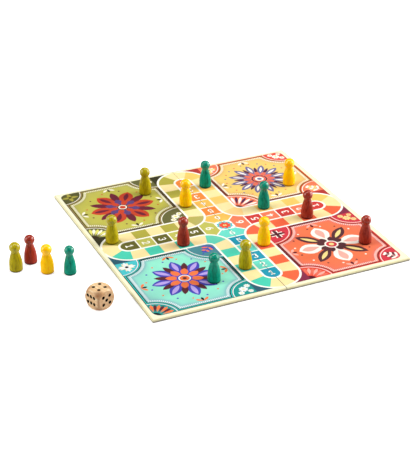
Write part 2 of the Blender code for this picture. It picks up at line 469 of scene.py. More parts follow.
@dataclass(frozen=True)
class Track:
    """Lanes, home columns and middle of the track, in millimetres."""

    print_reach: tuple[float, float, float, float] = (119.7, 121.1, 120.8, 120.5)
    corner_radius: float = 7.3
    border_reach: float = 123.4
    outer_half: float = 25.05
    home_half: float = 8.5
    line: float = 2.05
    cap_centre: float = 96.5
    cap_cut: float = 10.0
    bend_centre: float = 31.1
    cells: tuple[Pair, ...] = ((41.5, 56.0), (70.7, 85.1))
    end_wedge: Pair = (30.0, 78.5)
    bend_wedge: Pair = (196.5, 253.5)
    home_steps: tuple[float, ...] = (23.4, 39.4, 55.4, 71.4, 87.4)
    home_line: float = 1.3
    middle_half: float = 8.4
    middle_cut: float = 5.6
    scallop_radius: float = 7.3
    scallop_depth: float = 0.5
    scallop_waves: int = 10
    scallop_step: int = 6
    flower: PetalRing = PetalRing(8, 1.2, 5.0, 3.4, Ink.MIDDLE_RED)
    flower_eyes: tuple[tuple[float, Ink], ...] = ((3.1, Ink.MIDDLE_RED), (1.7, Ink.MIDDLE_SUN))
    cream_fade: float = 0.1
    fade_reach: Pair = (20.0, 52.0)
    digit_places: tuple[float, ...] = (95.6, 79.4, 63.4, 47.4, 31.4, 15.6)
    digit_height: float = 6.4
    digit_stroke: float = 1.2
    cap_steps: int = 16
    bend_steps: int = 14
    flare_steps: int = 10
    home_cap_steps: int = 18
    corner_steps: int = 10

    @property
    def cap(self) -> Vector:
        """Middle of the right-hand arm's round end."""
        return Vector((self.cap_centre, 0.0))

    @property
    def bend(self) -> Vector:
        """Middle of the bend between the right-hand arm and the back one."""
        return Vector((self.bend_centre, self.bend_centre))

    def edge_path(self, half: float) -> Outline:
        """Line that bounds the lanes in one quarter of the board.

        Args:
            half: Half width of the arm that the line bounds.

        Returns:
            Points from one arm's round end, round the bend, to the next arm's round end.
        """
        first = self.cap_cut if half == self.outer_half else 0.0
        lower = arc(self.cap, half, first, 90.0, self.cap_steps)
        turn = arc(self.bend, self.bend_centre - half, 270.0, 180.0, self.bend_steps)
        upper = [p.yx for p in reversed(lower)]
        return lower + turn + upper

    def faded(self, ink: Ink, fade: float) -> Shade:
        """Tone of an ink that pales a little towards the middle of the board.

        Args:
            ink: The ink.
            fade: How far it pales.

        Returns:
            Its tone by the place on the board.
        """
        near, far = self.fade_reach

        def shade(place: Vector) -> Tone:
            """Tone at one place."""
            share = min(max((far - place.length) / (far - near), 0.0), 1.0)
            return between(ink.tone, Ink.LINE.tone, fade * share)

        return shade

    def paint_lanes(self, painting: Painting, quarter: Matrix, ink: Ink, fade: float) -> None:
        """Lay the lanes of one quarter of the board, plain and coloured cells.

        Args:
            painting: What the cells are laid on.
            quarter: Flip from the back right quarter to this one.
            ink: Ink of the coloured cells.
            fade: How far that ink pales towards the middle of the board.
        """
        edge = self.edge_path(self.outer_half)
        ground = [ORIGIN, Vector((edge[0].x, 0.0)), *edge, Vector((0.0, edge[-1].y))]
        painting.fill(ground, self.faded(Ink.CREAM, self.cream_fade), quarter)
        colour = self.faded(ink, fade)
        shapes = [block(low, self.home_half, high, self.outer_half) for low, high in self.cells]
        shapes.append(sector(self.cap, self.home_half, self.outer_half, *self.end_wedge))
        for shape in shapes:
            painting.fill(shape, colour, quarter)
            painting.fill([p.yx for p in shape], colour, quarter)
        inner, outer = self.bend_centre - self.outer_half, self.bend_centre - self.home_half
        painting.fill(sector(self.bend, inner, outer, *self.bend_wedge), colour, quarter)

    def paint_home(self, painting: Painting, arm: Arm, dark: Ink, light: Ink) -> None:
        """Lay one arm's home column of six cells.

        Args:
            painting: What the cells are laid on.
            arm: Arm that the column runs along.
            dark: Ink of the first, third and fifth cells, counted from the outer end.
            light: Ink of the others.
        """
        half, steps = self.home_half, self.home_steps
        inner_arc = arc(self.bend, self.bend_centre - half, 225.0, 270.0, self.flare_steps)
        flare = [Vector((p.x, -p.y)) for p in inner_arc]
        painting.fill([ORIGIN, *flare, *inner_arc[::-1]], light, arm.turn)
        for k, (low, high) in enumerate(zip(steps, steps[1:])):
            painting.fill(block(low, -half, high, half), light if k % 2 else dark, arm.turn)
        cap = arc(self.cap, half, -90.0, 90.0, self.home_cap_steps)
        painting.fill([Vector((steps[-1], half)), Vector((steps[-1], -half)), *cap], dark, arm.turn)

    def paint_lines(self, painting: Painting, quarter: Matrix) -> None:
        """Lay the white lines of one quarter of the board.

        Args:
            painting: What the lines are laid on.
            quarter: Flip from the back right quarter to this one.
        """
        bend_reach = self.bend_centre - (self.bend_centre - self.home_half) / math.sqrt(2)
        diagonal = [ORIGIN, Vector((bend_reach, bend_reach))]
        painting.fill(ribbon(diagonal, self.home_line), Ink.LINE, quarter)
        for half in (self.outer_half, self.home_half):
            painting.fill(ribbon(self.edge_path(half), self.line), Ink.LINE, quarter)

    def paint_steps(self, painting: Painting, arm: Arm) -> None:
        """Lay the white lines and the numbers of one home column.

        Args:
            painting: What they are laid on.
            arm: Arm that the column runs along.
        """
        reach, line = self.home_half, self.home_line / 2
        for step in self.home_steps:
            painting.fill(block(step - line, -reach, step + line, reach), Ink.LINE, arm.turn)
        height = self.digit_height
        for number, place in enumerate(self.digit_places, start=1):
            for stroke in digit_strokes(number):
                path = [Vector((place - p.y * height, p.x * height)) for p in stroke]
                painting.fill(ribbon(path, self.digit_stroke), Ink.LINE, arm.turn)

    def paint_middle(self, painting: Painting) -> None:
        """Lay the white octagon and its flower.

        Args:
            painting: What they are laid on.
        """
        half, cut = self.middle_half, self.middle_cut
        side = [Vector((half, -cut)), Vector((half, cut))]
        octagon = [arm.turn @ p for arm in Arm for p in side]
        painting.fill(octagon, Ink.LINE)
        scallops = []
        for degrees in range(0, 360, self.scallop_step):
            wave = math.cos(math.radians(self.scallop_waves * degrees))
            scallops.append(polar(self.scallop_radius + self.scallop_depth * wave, degrees))
        painting.fill(scallops, Ink.MIDDLE_SEA)
        self.flower.paint(painting, ORIGIN)
        for radius, ink in self.flower_eyes:
            painting.fill(disc(ORIGIN, radius), ink)

    def paint_border(self, painting: Painting) -> None:
        """Lay the plain paper border over what runs past the printed square.

        Args:
            painting: What the border is laid on.
        """
        high, radius = self.border_reach, self.corner_radius
        across = (*self.print_reach[1:], self.print_reach[0])
        for arm, low, left in zip(Arm, self.print_reach, across):
            painting.fill(block(low, -high, high, high), Ink.PAPER, arm.turn)
            corner = Vector((low, left))
            centre = corner - Vector((radius, radius))
            round_corner = arc(centre, radius, 0.0, 90.0, self.corner_steps)
            painting.fill([corner, *round_corner[::-1]], Ink.PAPER, arm.turn)


def digit_strokes(number: int) -> list[Outline]:
    """Middle lines of the strokes of one numeral.

    Args:
        number: Numeral from one to six.

    Returns:
        Strokes in a box one unit high with its middle at the origin.
    """
    lines = {
        1: [((-0.22, 0.24), (0.02, 0.5)), ((0.02, 0.5), (0.02, -0.5)), ((-0.22, -0.5), (0.26, -0.5))],
        2: [((-0.28, -0.5), (0.3, -0.5))],
        3: [],
        4: [((0.12, -0.5), (0.12, 0.5)), ((0.12, 0.5), (-0.3, -0.2)), ((-0.3, -0.2), (0.34, -0.2))],
        5: [((0.26, 0.5), (-0.2, 0.5)), ((-0.2, 0.5), (-0.22, 0.06))],
        6: [((-0.3, -0.2), (-0.27, 0.06), (-0.13, 0.32), (0.12, 0.5))],
    }
    bows = {
        2: [((0.0, 0.22), 0.28, 165.0, -38.0)],
        3: [((0.0, 0.25), 0.25, 145.0, -80.0), ((0.0, -0.22), 0.28, 80.0, -145.0)],
        5: [((0.0, -0.2), 0.3, 135.0, -145.0)],
        6: [((0.0, -0.2), 0.3, 0.0, 185.0), ((0.0, -0.2), 0.3, 180.0, 365.0)],
    }
    strokes = [[Vector(p) for p in line] for line in lines[number]]
    for centre, radius, start, end in bows.get(number, []):
        strokes.append(arc(Vector(centre), radius, start, end, BOW_STEPS))
    if number == 2:
        strokes[-1].append(Vector((-0.28, -0.5)))
    return strokes


@dataclass(frozen=True)
class Emblem:
    """Ornament of one corner medallion, with its inks."""

    motif: Motif
    ground: Ink
    leaf: Ink
    bloom: Ink


@dataclass(frozen=True)
class Medallion:
    """Quarter disc in one corner of a yard, filled with an ornament, in millimetres."""

    painting: Painting
    turn: Matrix
    corner: Vector
    radius: float
    base: float
    emblem: Emblem
    eye: Ink

    @property
    def inks(self) -> tuple[Ink, Ink]:
        """Inks that take turns along the ornament."""
        return self.emblem.leaf, self.emblem.bloom

    def at(self, reach: float, lean: float = 45.0) -> Vector:
        """Point at a distance from the corner, at an angle from the medallion's first side."""
        return self.corner + polar(reach, self.base + lean)

    def lay(self, outline: Outline, ink: Ink) -> None:
        """Lay one shape of the medallion on the board."""
        self.painting.fill(outline, ink, self.turn)

    def quarter(self, radius: float, ink: Ink, steps: int = 16) -> None:
        """Lay a quarter disc in the corner."""
        self.lay([self.corner, *arc(self.corner, radius, self.base, self.base + 90, steps)], ink)

    def fan(self) -> None:
        """Lay seven petals that spread from the corner."""
        count, first, pitch = 7, 9, 12
        root, tip_margin, width, swell = 6.5, 8.0, 3.0, 0.66
        eye_radius, eye_steps = 5.5, 8
        for k in range(count):
            lean = first + pitch * k
            length = self.radius - tip_margin
            shape = petal(self.at(root, lean), self.base + lean, length, width, swell)
            self.lay(shape, self.inks[k % 2])
        self.quarter(eye_radius, self.eye, eye_steps)

    def fern(self) -> None:
        """Lay a stem across the middle with five pairs of leaves that shorten outwards."""
        stem_start, tip_margin, stem_width = 4.0, 2.0, 0.8
        pairs, first, pitch, lean = 5, 5.0, 2.7, 58
        length, shrink, width, swell = 7.6, 1.1, 2.5, 0.55
        stem = [self.at(stem_start), self.at(self.radius - tip_margin)]
        self.lay(ribbon(stem, stem_width), self.emblem.leaf)
        for k in range(pairs):
            root = self.at(first + pitch * k)
            for side in (-lean, lean):
                shape = petal(root, self.base + 45 + side, length - shrink * k, width, swell)
                self.lay(shape, self.inks[k % 2])

    def daisies(self) -> None:
        """Lay four daisies, each at its reach, its angle and its size."""
        petals, start, breadth, eye, eye_sides = 8, 0.8, 0.55, 0.32, 10
        places = ((12.5, 45, 4.4), (13.5, 16, 3.0), (13.5, 74, 3.0), (5.6, 45, 2.6))
        for reach, lean, size in places:
            spot = self.at(reach, lean)
            ring = PetalRing(petals, start, size - start, size * breadth, self.emblem.leaf)
            ring.paint(self.painting, spot, self.turn)
            self.lay(disc(spot, size * eye, eye_sides), self.emblem.bloom)

    def star(self) -> None:
        """Lay four long rays over eight short ones."""
        reach, eye_radius, eye_sides = 0.58, 1.7, 14
        spot = self.at(self.radius * reach)
        rays = (
            PetalRing(8, 0.0, 7.4, 2.6, self.emblem.bloom, 22.5, 0.4),
            PetalRing(4, 0.0, 8.6, 3.6, self.emblem.leaf, self.base, 0.4),
        )
        for ring in rays:
            ring.paint(self.painting, spot, self.turn)
        self.lay(disc(spot, eye_radius, eye_sides), self.eye)

    def paint(self, line: float, rim: Ink) -> None:
        """Lay the rim, the ground and the ornament.

        Args:
            line: Width of the rim.
            rim: Ink of the rim.
        """
        self.quarter(self.radius + line, rim)
        self.quarter(self.radius, self.emblem.ground)
        ornaments = {
            Motif.FAN: self.fan,
            Motif.FERN: self.fern,
            Motif.DAISIES: self.daisies,
            Motif.STAR: self.star,
        }
        ornaments[self.emblem.motif]()


@dataclass(frozen=True)
class Yard:
    """One corner yard: a framed panel with a medallion in each corner, in millimetres.

    Its own outlines are drawn for the back right quarter, and flipped to where the yard lies.
    """

    flip: tuple[int, int]
    inks: YardInks
    rosette: Rosette
    emblems: tuple[Emblem, Emblem, Emblem, Emblem]
    reach: Pair
    low: float = 26.05
    medallions: tuple[float, float, float, float] = (24.4, 20.4, 19.6, 20.4)
    medallion_line: float = 0.9
    frame_lines: Triple = (0.5, 1.4, 2.3)
    lane_lines: Triple = (1.3, 2.1, 3.2)
    tick_inset: float = 4.1
    haze_start: float = 4.6
    haze_end: float = 7.8
    haze_steps: int = 5
    rim_haze: float = 0.85
    rim_reach: float = 0.4
    lane_rule: float = 0.35
    lane_fade: float = 0.1
    outer_shade: float = 0.5
    shade_reach: float = 24.0
    shade_rings: tuple[float, ...] = (11.0, 15.0, 20.0)
    sprig_reach: float = 41.0
    sprig_lean: int = 52
    sprig_stem: float = 6.0
    sprig_leaf: float = 7.5
    sprig_width: float = 2.6
    sprig_swell: float = 0.6

    @property
    def turn(self) -> Matrix:
        """Flip from the back right quarter to this yard."""
        return Matrix(((self.flip[0], 0), (0, self.flip[1])))

    @property
    def corners(self) -> list[Vector]:
        """Corners of the yard: by the middle, by two arm ends, and the board's own."""
        return block(self.low, self.low, *self.reach)

    @property
    def centre(self) -> Vector:
        """Middle of the yard."""
        return (Vector((self.low, self.low)) + Vector(self.reach)) / 2

    def ticket(self, inset: float, steps: int = 14) -> Outline:
        """Outline of the panel with its hollow corners.

        Args:
            inset: How far the outline lies inside the yard's edge and the medallions' rims.
            steps: Number of steps round each hollow corner.

        Returns:
            The outline.
        """
        points: Outline = []
        for k, (corner, medallion) in enumerate(zip(self.corners, self.medallions)):
            radius = medallion + self.medallion_line + inset
            lean = math.degrees(math.asin(inset / radius))
            points += arc(corner, radius, 90 * k + 90 - lean, 90 * k + lean, steps)
        return points

    def depth(self, place: Vector) -> float:
        """How far a place lies inside the yard's edge and the medallions' rims.

        Args:
            place: Place on the board.

        Returns:
            The distance to the nearest of them.
        """
        spot = self.turn @ place
        wide, deep = self.reach
        sides = [spot.x - self.low, wide - spot.x, spot.y - self.low, deep - spot.y]
        rims = [
            ((spot - corner).length - radius - self.medallion_line) * self.rim_haze
            for corner, radius in zip(self.corners, self.medallions)
        ]
        return min(sides + rims)

    def panel_shade(self, place: Vector) -> Tone:
        """Tone of the panel, hazy along its frame and a little on from its outer sides.

        Args:
            place: Place on the board.

        Returns:
            The tone there.
        """
        share = (self.depth(place) - self.haze_start) / (self.haze_end - self.haze_start)
        share = min(max(share, 0.0), 1.0)
        spot = self.turn @ place
        outer = min(self.reach[0] - spot.x, self.reach[1] - spot.y)
        shade = self.outer_shade * max(1 - outer / self.shade_reach, 0.0)
        clear = share * share * (3 - 2 * share) * (1 - shade)
        return between(self.inks.haze.tone, self.inks.panel.tone, clear)

    def paint(self, painting: Painting) -> None:
        """Lay the yard on the board: frame, panel, medallions and ornaments.

        Args:
            painting: What the yard is laid on.
        """
        inks = self.inks
        wide, deep = (reach + self.rim_reach for reach in self.reach)
        painting.fill(block(0.0, 0.0, wide, deep), inks.spandrel, self.turn)
        painting.fill(block(self.low, self.low, wide, deep), inks.rim, self.turn)
        for inset, ink in zip(self.frame_lines, (inks.rule, inks.frame)):
            painting.fill(self.ticket(inset), ink, self.turn)
        painting.fill(self.ticket(self.frame_lines[-1]), self.panel_shade, self.turn)
        step = (self.haze_end - self.haze_start) / self.haze_steps
        insets = [self.haze_start + step * k for k in range(self.haze_steps + 1)]
        for inset in (*insets, *self.shade_rings):
            painting.fill(self.ticket(inset), self.panel_shade, self.turn)
        self.paint_lane_bands(painting)
        self.paint_sprigs(painting)
        self.rosette.paint(painting, self.centre, self.turn)
        self.paint_medallions(painting)

    def paint_lane_bands(self, painting: Painting) -> None:
        """Lay the broader dark bands along the two sides that face the lanes.

        Args:
            painting: What the bands are laid on.
        """
        width = self.frame_lines[-1]
        inner, outer = (m + self.medallion_line + width for m in self.medallions[:2])
        dark = self.inks.frame.tone
        muted = between(dark, self.inks.rule.tone, self.lane_rule)
        for depth, tone in zip(reversed(self.lane_lines), (dark, muted, dark)):
            for swap, reach in enumerate(self.reach):
                band = block(self.low + inner, self.low, reach - outer, self.low + depth)
                shape = [p.yx for p in band] if swap else band
                painting.fill(shape, lambda _place, tone=tone: tone, self.turn)

    def paint_sprigs(self, painting: Painting) -> None:
        """Lay a small sprig between the ornament and each side of the frame.

        Args:
            painting: What the sprigs are laid on.
        """
        stem, leaf, lean = self.sprig_stem, self.sprig_leaf, self.sprig_lean
        inks = self.inks
        blades = ((0, stem, inks.frame), (lean, leaf, inks.bloom), (-lean, leaf, inks.bloom))
        for k in range(4):
            root = self.centre + polar(self.sprig_reach, 90 * k)
            for way, length, ink in blades:
                facing = 90 * k + 180 + way
                shape = petal(root, facing, length, self.sprig_width, self.sprig_swell)
                painting.fill(shape, ink, self.turn)

    def paint_medallions(self, painting: Painting) -> None:
        """Lay the four corner medallions, counted from the one by the board's middle.

        Args:
            painting: What the medallions are laid on.
        """
        eye = self.inks.frame
        corners = zip(self.corners, self.medallions, self.emblems)
        for k, (corner, radius, emblem) in enumerate(corners):
            medallion = Medallion(painting, self.turn, corner, radius, 90 * k, emblem, eye)
            medallion.paint(self.medallion_line, self.inks.tick)


SEA_YARD = Yard(
    (-1, -1),
    YardInks(
        Ink.TURQUOISE, Ink.MINT, Ink.HEATHER, Ink.MULBERRY, Ink.CYAN, Ink.NAVY, Ink.FROST,
        Ink.DEEP_SEA, Ink.TANGERINE,
    ),
    Rosette(
        (
            PetalRing(8, 6.0, 25.0, 11.0, Ink.INDIGO, 0.0, 0.55),
            PetalRing(8, 7.0, 20.0, 6.0, Ink.UMBER, 22.5, 0.6),
            PetalRing(8, 13.0, 16.0, 4.4, Ink.LILAC, 0.0, 0.5),
            PetalRing(8, 3.0, 14.0, 7.0, Ink.TANGERINE, 22.5, 0.6),
        ),
        ((7.0, Ink.INDIGO), (5.6, Ink.FROST), (4.4, Ink.TANGERINE), (1.9, Ink.UMBER)),
        16, 34.0, (Ink.INDIGO, Ink.TANGERINE),
    ),
    (
        Emblem(Motif.FERN, Ink.STEEL, Ink.INDIGO, Ink.TANGERINE),
        Emblem(Motif.STAR, Ink.AQUA, Ink.FROST, Ink.PEACH),
        Emblem(Motif.FAN, Ink.LAGOON, Ink.TANGERINE, Ink.UMBER),
        Emblem(Motif.DAISIES, Ink.LAGOON, Ink.FROST, Ink.PEACH),
    ),
    (120.4, 120.0),
    lane_lines=(1.4, 2.1, 3.6),
)
MEADOW_YARD = Yard(
    (-1, 1),
    YardInks(
        Ink.OLIVE, Ink.MEADOW, Ink.KHAKI, Ink.BARK, Ink.STRAW, Ink.BARK, Ink.IVORY,
        Ink.BOTTLE, Ink.IVORY,
    ),
    Rosette(
        (
            PetalRing(6, 5.0, 27.0, 14.0, Ink.RUST, 0.0, 0.6),
            PetalRing(6, 7.0, 25.0, 8.0, Ink.MAROON, 30.0, 0.6),
            PetalRing(6, 13.0, 16.0, 4.6, Ink.MAROON, 0.0, 0.55),
            PetalRing(6, 4.0, 13.0, 7.0, Ink.VIOLET, 30.0, 0.6),
            PetalRing(6, 3.0, 10.0, 6.0, Ink.RUST, 0.0, 0.6),
        ),
        ((5.4, Ink.MAROON), (4.2, Ink.IVORY), (3.0, Ink.RUST)),
        12, 34.0, (Ink.RUST, Ink.MAROON),
    ),
    (
        Emblem(Motif.DAISIES, Ink.FOREST, Ink.IVORY, Ink.LEMON),
        Emblem(Motif.FAN, Ink.FOREST, Ink.LEMON, Ink.IVORY),
        Emblem(Motif.STAR, Ink.LOAM, Ink.GORSE, Ink.MOSS_DEEP),
        Emblem(Motif.FERN, Ink.FOREST, Ink.IVORY, Ink.LEMON),
    ),
    (120.5, 120.9),
)
SUN_YARD = Yard(
    (1, 1),
    YardInks(
        Ink.APRICOT, Ink.SUNFLOWER, Ink.HONEY, Ink.EMBER, Ink.EMBER, Ink.PLUM, Ink.SNOW,
        Ink.BRICK, Ink.SNOW,
    ),
    Rosette(
        (
            PetalRing(12, 8.0, 23.0, 7.0, Ink.SLATE, 0.0, 0.6),
            PetalRing(12, 9.0, 17.0, 3.4, Ink.AUBERGINE, 15.0, 0.6),
            PetalRing(12, 15.0, 12.0, 2.6, Ink.SNOW, 0.0, 0.5),
            PetalRing(12, 4.0, 12.0, 5.4, Ink.SALMON, 15.0, 0.65),
        ),
        ((8.0, Ink.AUBERGINE), (6.6, Ink.SALMON), (4.4, Ink.SNOW), (2.4, Ink.SLATE)),
        24, 34.0, (Ink.SLATE, Ink.SALMON),
    ),
    (
        Emblem(Motif.FAN, Ink.CORAL, Ink.SNOW, Ink.AUBERGINE),
        Emblem(Motif.FERN, Ink.CORAL, Ink.SNOW, Ink.SUNFLOWER),
        Emblem(Motif.DAISIES, Ink.PAPRIKA, Ink.SNOW, Ink.SUNFLOWER),
        Emblem(Motif.STAR, Ink.CORAL, Ink.BUTTER, Ink.SNOW),
    ),
    (119.4, 120.5),
    lane_fade=0.24,
)
POPPY_YARD = Yard(
    (1, -1),
    YardInks(
        Ink.VERMILION, Ink.PAPAYA, Ink.ROSE, Ink.SCARLET, Ink.SCARLET, Ink.WINE, Ink.BLUSH,
        Ink.BERRY, Ink.PINK,
    ),
    Rosette(
        (
            PetalRing(4, 5.0, 28.0, 17.0, Ink.SNOW, 0.0, 0.6),
            PetalRing(4, 6.0, 29.0, 11.0, Ink.COCOA, 45.0, 0.55),
            PetalRing(4, 12.0, 18.0, 8.0, Ink.PINK, 0.0, 0.6),
            PetalRing(4, 13.0, 17.0, 4.0, Ink.BUTTER, 45.0, 0.5),
            PetalRing(8, 3.0, 11.0, 5.6, Ink.COCOA, 22.5, 0.6),
        ),
        ((6.4, Ink.SNOW), (5.0, Ink.POPPY), (2.4, Ink.BUTTER)),
        16, 34.5, (Ink.SNOW, Ink.COCOA),
    ),
    (
        Emblem(Motif.STAR, Ink.POPPY, Ink.COCOA, Ink.SNOW),
        Emblem(Motif.DAISIES, Ink.POPPY, Ink.BUTTER, Ink.PINK),
        Emblem(Motif.FERN, Ink.POPPY, Ink.SNOW, Ink.COCOA),
        Emblem(Motif.FAN, Ink.PAPRIKA, Ink.SALMON, Ink.PINK),
    ),
    (119.3, 120.4),
    lane_fade=0.02,
)
YARDS = (SEA_YARD, MEADOW_YARD, SUN_YARD, POPPY_YARD)
HOME_INKS = {
    Arm.RIGHT: (Ink.CRIMSON, Ink.CORAL),
    Arm.BACK: (Ink.FLAME, Ink.AMBER),
    Arm.LEFT: (Ink.MOSS_DEEP, Ink.MOSS_PALE),
    Arm.FRONT: (Ink.SEA_DEEP, Ink.SEA_PALE),
}


def paint_board() -> Painting:
    """Lay the whole print of the board.

    Returns:
        The print.
    """
    painting = Painting()
    track = Track()
    for yard in YARDS:
        yard.paint(painting)
    for yard in YARDS:
        track.paint_lanes(painting, yard.turn, yard.inks.lane, yard.lane_fade)
    for arm, (dark, light) in HOME_INKS.items():
        track.paint_home(painting, arm, dark, light)
    for yard in YARDS:
        track.paint_lines(painting, yard.turn)
    for arm in Arm:
        track.paint_steps(painting, arm)
    track.paint_middle(painting)
    track.paint_border(painting)
    return painting


class Nodes:
    """Adds and joins the nodes of one tree."""

    def __init__(self, tree: Tree) -> None:
        """Start on a tree, leaving out what it opened with."""
        self.tree = tree
        tree.nodes.clear()

    def add(self, kind: str, values: dict | None = None, **settings: object) -> bpy.types.Node:
        """Add one node.

        Args:
            kind: Type name of the node.
            values: Values or source sockets for its inputs, by name or number.
            settings: Values for its own settings.

        Returns:
            The node.
        """
        node = self.tree.nodes.new(kind)
        for name, value in settings.items():
            setattr(node, name, value)
        for name, value in (values or {}).items():
            if isinstance(value, Socket):
                self.tree.links.new(value, node.inputs[name])
            else:
                node.inputs[name].default_value = value
        return node

    def attribute(self, name: str, output: str = "Fac") -> Socket:
        """What the mesh holds under a name."""
        return self.add("ShaderNodeAttribute", attribute_name=name).outputs[output]

    def place(self) -> Socket:
        """Place on the object, in metres."""
        return self.add("ShaderNodeTexCoord").outputs["Object"]

    def maths(self, operation: str, *values: Socket | float) -> Socket:
        """Result of one operation on some values."""
        return self.add("ShaderNodeMath", dict(enumerate(values)), operation=operation).outputs[0]

    def ranged(
        self,
        value: Socket,
        span: Pair,
        most: float = 1.0,
        least: float = 0.0,
        curve: str = "LINEAR",
    ) -> Socket:
        """Value carried from one span to another, and held at its ends.

        Args:
            value: Socket of the value.
            span: Where the value starts and stops to count.
            most: Result at the end of the span.
            least: Result at its start.
            curve: Way from one to the other.

        Returns:
            Socket of the result.
        """
        start, end = span
        values = {"Value": value, "From Min": start, "From Max": end, "To Min": least, "To Max": most}
        return self.add("ShaderNodeMapRange", values, interpolation_type=curve).outputs["Result"]

    def grain(self, scale: Triple, detail: float, place: Socket | None = None) -> Socket:
        """Grain drawn out along an axis.

        Args:
            scale: Grains to a metre along each axis.
            detail: How much finer grain lies in the grain.
            place: Socket of the places to read, or none for the object's own.

        Returns:
            Socket of the grain, from nought to one.
        """
        values = {"Place": place or self.place(), "Scale": scale, "Detail": detail}
        return self.add("ShaderNodeGroup", values, node_tree=EFFECTS["grain"]).outputs["Grain"]

    def mottled(self, colour: Socket | Tone, scale: float, amount: float) -> Socket:
        """Colour made uneven.

        Args:
            colour: Even colour, or the socket that gives it.
            scale: Patches to a metre.
            amount: How far the tone swings.

        Returns:
            Socket of the uneven colour.
        """
        values = {"Color": colour, "Scale": scale, "Amount": amount}
        return self.add("ShaderNodeGroup", values, node_tree=EFFECTS["mottle"]).outputs["Color"]

    def blended(self, mask: Socket, first: Socket | Tone, second: Socket | Tone) -> Socket:
        """Mix of two colours by a mask.

        Args:
            mask: Share of the second colour.
            first: Colour, or the socket that gives it.
            second: Colour, or the socket that gives it.

        Returns:
            Socket of the mixed colour.
        """
        values = {MIX_MASK: mask, MIX_FIRST: first, MIX_SECOND: second}
        return self.add("ShaderNodeMix", values, data_type="RGBA").outputs[MIX_RESULT]

    def realized(
        self, geometry: Socket, finish: Socket, output: str, chosen: Socket | bool = True
    ) -> None:
        """End a geometry tree with its instances made real and finished.

        Args:
            geometry: Socket of the geometry.
            finish: Socket of the material.
            output: Name of the tree's output.
            chosen: Which faces get the material.
        """
        real = self.add("GeometryNodeRealizeInstances", {"Geometry": geometry})
        values = {"Geometry": real.outputs[0], "Selection": chosen, "Material": finish}
        finished = self.add("GeometryNodeSetMaterial", values)
        self.add("NodeGroupOutput", {output: finished.outputs[0]})


def new_group(name: str, kind: str, inputs: Sequence[tuple], output: tuple[str, str]) -> Nodes:
    """Make an empty node group with its sockets.

    Args:
        name: Name of the group.
        kind: Type name of its tree.
        inputs: Name, socket type and, where it has one, first value of each input.
        output: Name and socket type of the output.

    Returns:
        The group's nodes.
    """
    tree = bpy.data.node_groups.new(name, kind)
    for label, socket_type, *value in inputs:
        socket = tree.interface.new_socket(label, in_out="INPUT", socket_type=socket_type)
        if value:
            socket.default_value = value[0]
    label, socket_type = output
    tree.interface.new_socket(label, in_out="OUTPUT", socket_type=socket_type)
    return Nodes(tree)


def mottle_group() -> Tree:
    """Shared effect: uneven tone, a little lighter and darker from place to place.

    Returns:
        Group with the mottled colour as its output.
    """
    inputs = (
        ("Color", "NodeSocketColor"),
        ("Scale", "NodeSocketFloat", 60.0),
        ("Amount", "NodeSocketFloat", 0.1),
    )
    nodes = new_group("uneven_tone", "ShaderNodeTree", inputs, ("Color", "NodeSocketColor"))
    given = nodes.add("NodeGroupInput").outputs
    values = {"Vector": nodes.place(), "Scale": given["Scale"], "Detail": 4.0, "Roughness": 0.6}
    noise = nodes.add("ShaderNodeTexNoise", values).outputs["Fac"]
    centred = nodes.maths("SUBTRACT", noise, 0.5)
    swing = nodes.maths("MULTIPLY_ADD", centred, given["Amount"], 1.0)
    values = {0: given["Color"], "Scale": swing}
    tinted = nodes.add("ShaderNodeVectorMath", values, operation="SCALE")
    nodes.add("NodeGroupOutput", {"Color": tinted.outputs[0]})
    return nodes.tree


def grain_group() -> Tree:
    """Shared effect: fine grain that can be drawn out along an axis.

    Returns:
        Group with the grain as a value from nought to one.
    """
    inputs = (
        ("Place", "NodeSocketVector"),
        ("Scale", "NodeSocketVector", (900.0, 900.0, 900.0)),
        ("Detail", "NodeSocketFloat", 3.0),
    )
    nodes = new_group("drawn_grain", "ShaderNodeTree", inputs, ("Grain", "NodeSocketFloat"))
    given = nodes.add("NodeGroupInput").outputs
    values = {0: given["Place"], 1: given["Scale"]}
    drawn = nodes.add("ShaderNodeVectorMath", values, operation="MULTIPLY").outputs[0]
    values = {"Vector": drawn, "Scale": 1.0, "Detail": given["Detail"], "Roughness": 0.55}
    noise = nodes.add("ShaderNodeTexNoise", values)
    nodes.add("NodeGroupOutput", {"Grain": noise.outputs["Fac"]})
    return nodes.tree


@dataclass(frozen=True)
class Finish:
    """A finish: its material's name and how rough it is at its smoothest and its roughest."""

    name: str
    smooth: float
    rough: float

    def material(self) -> bpy.types.Material:
        """The finish's material, made on first use.

        Returns:
            The material.
        """
        made = bpy.data.materials.get(self.name)
        if made is None:
            made = bpy.data.materials.new(self.name)
            made.use_nodes = True
            self.dress(Nodes(made.node_tree))
        return made

    def dress(self, nodes: Nodes) -> None:
        """Fill the material's tree. Each finish has its own way."""
        raise NotImplementedError

    def finish_off(
        self,
        nodes: Nodes,
        colour: Socket,
        grain: Socket,
        depth: float,
        shine: dict[str, Socket | float] | None = None,
    ) -> None:
        """Add the shader, with its roughness and bump from a grain.

        Args:
            nodes: Tree that the shader goes in.
            colour: Base colour.
            grain: Value from nought to one that roughens and raises the surface.
            depth: Height of the bump, in metres.
            shine: Values or source sockets for the shader's own gloss.
        """
        heights = {"Height": grain, "Strength": BUMP_STRENGTH, "Distance": depth}
        values = {
            "Base Color": colour,
            "Roughness": nodes.ranged(grain, GRAIN_SPAN, self.rough, self.smooth),
            "Normal": nodes.add("ShaderNodeBump", heights).outputs["Normal"],
            **(shine or {}),
        }
        shader = nodes.add("ShaderNodeBsdfPrincipled", values)
        nodes.add("ShaderNodeOutputMaterial", {"Surface": shader.outputs["BSDF"]})


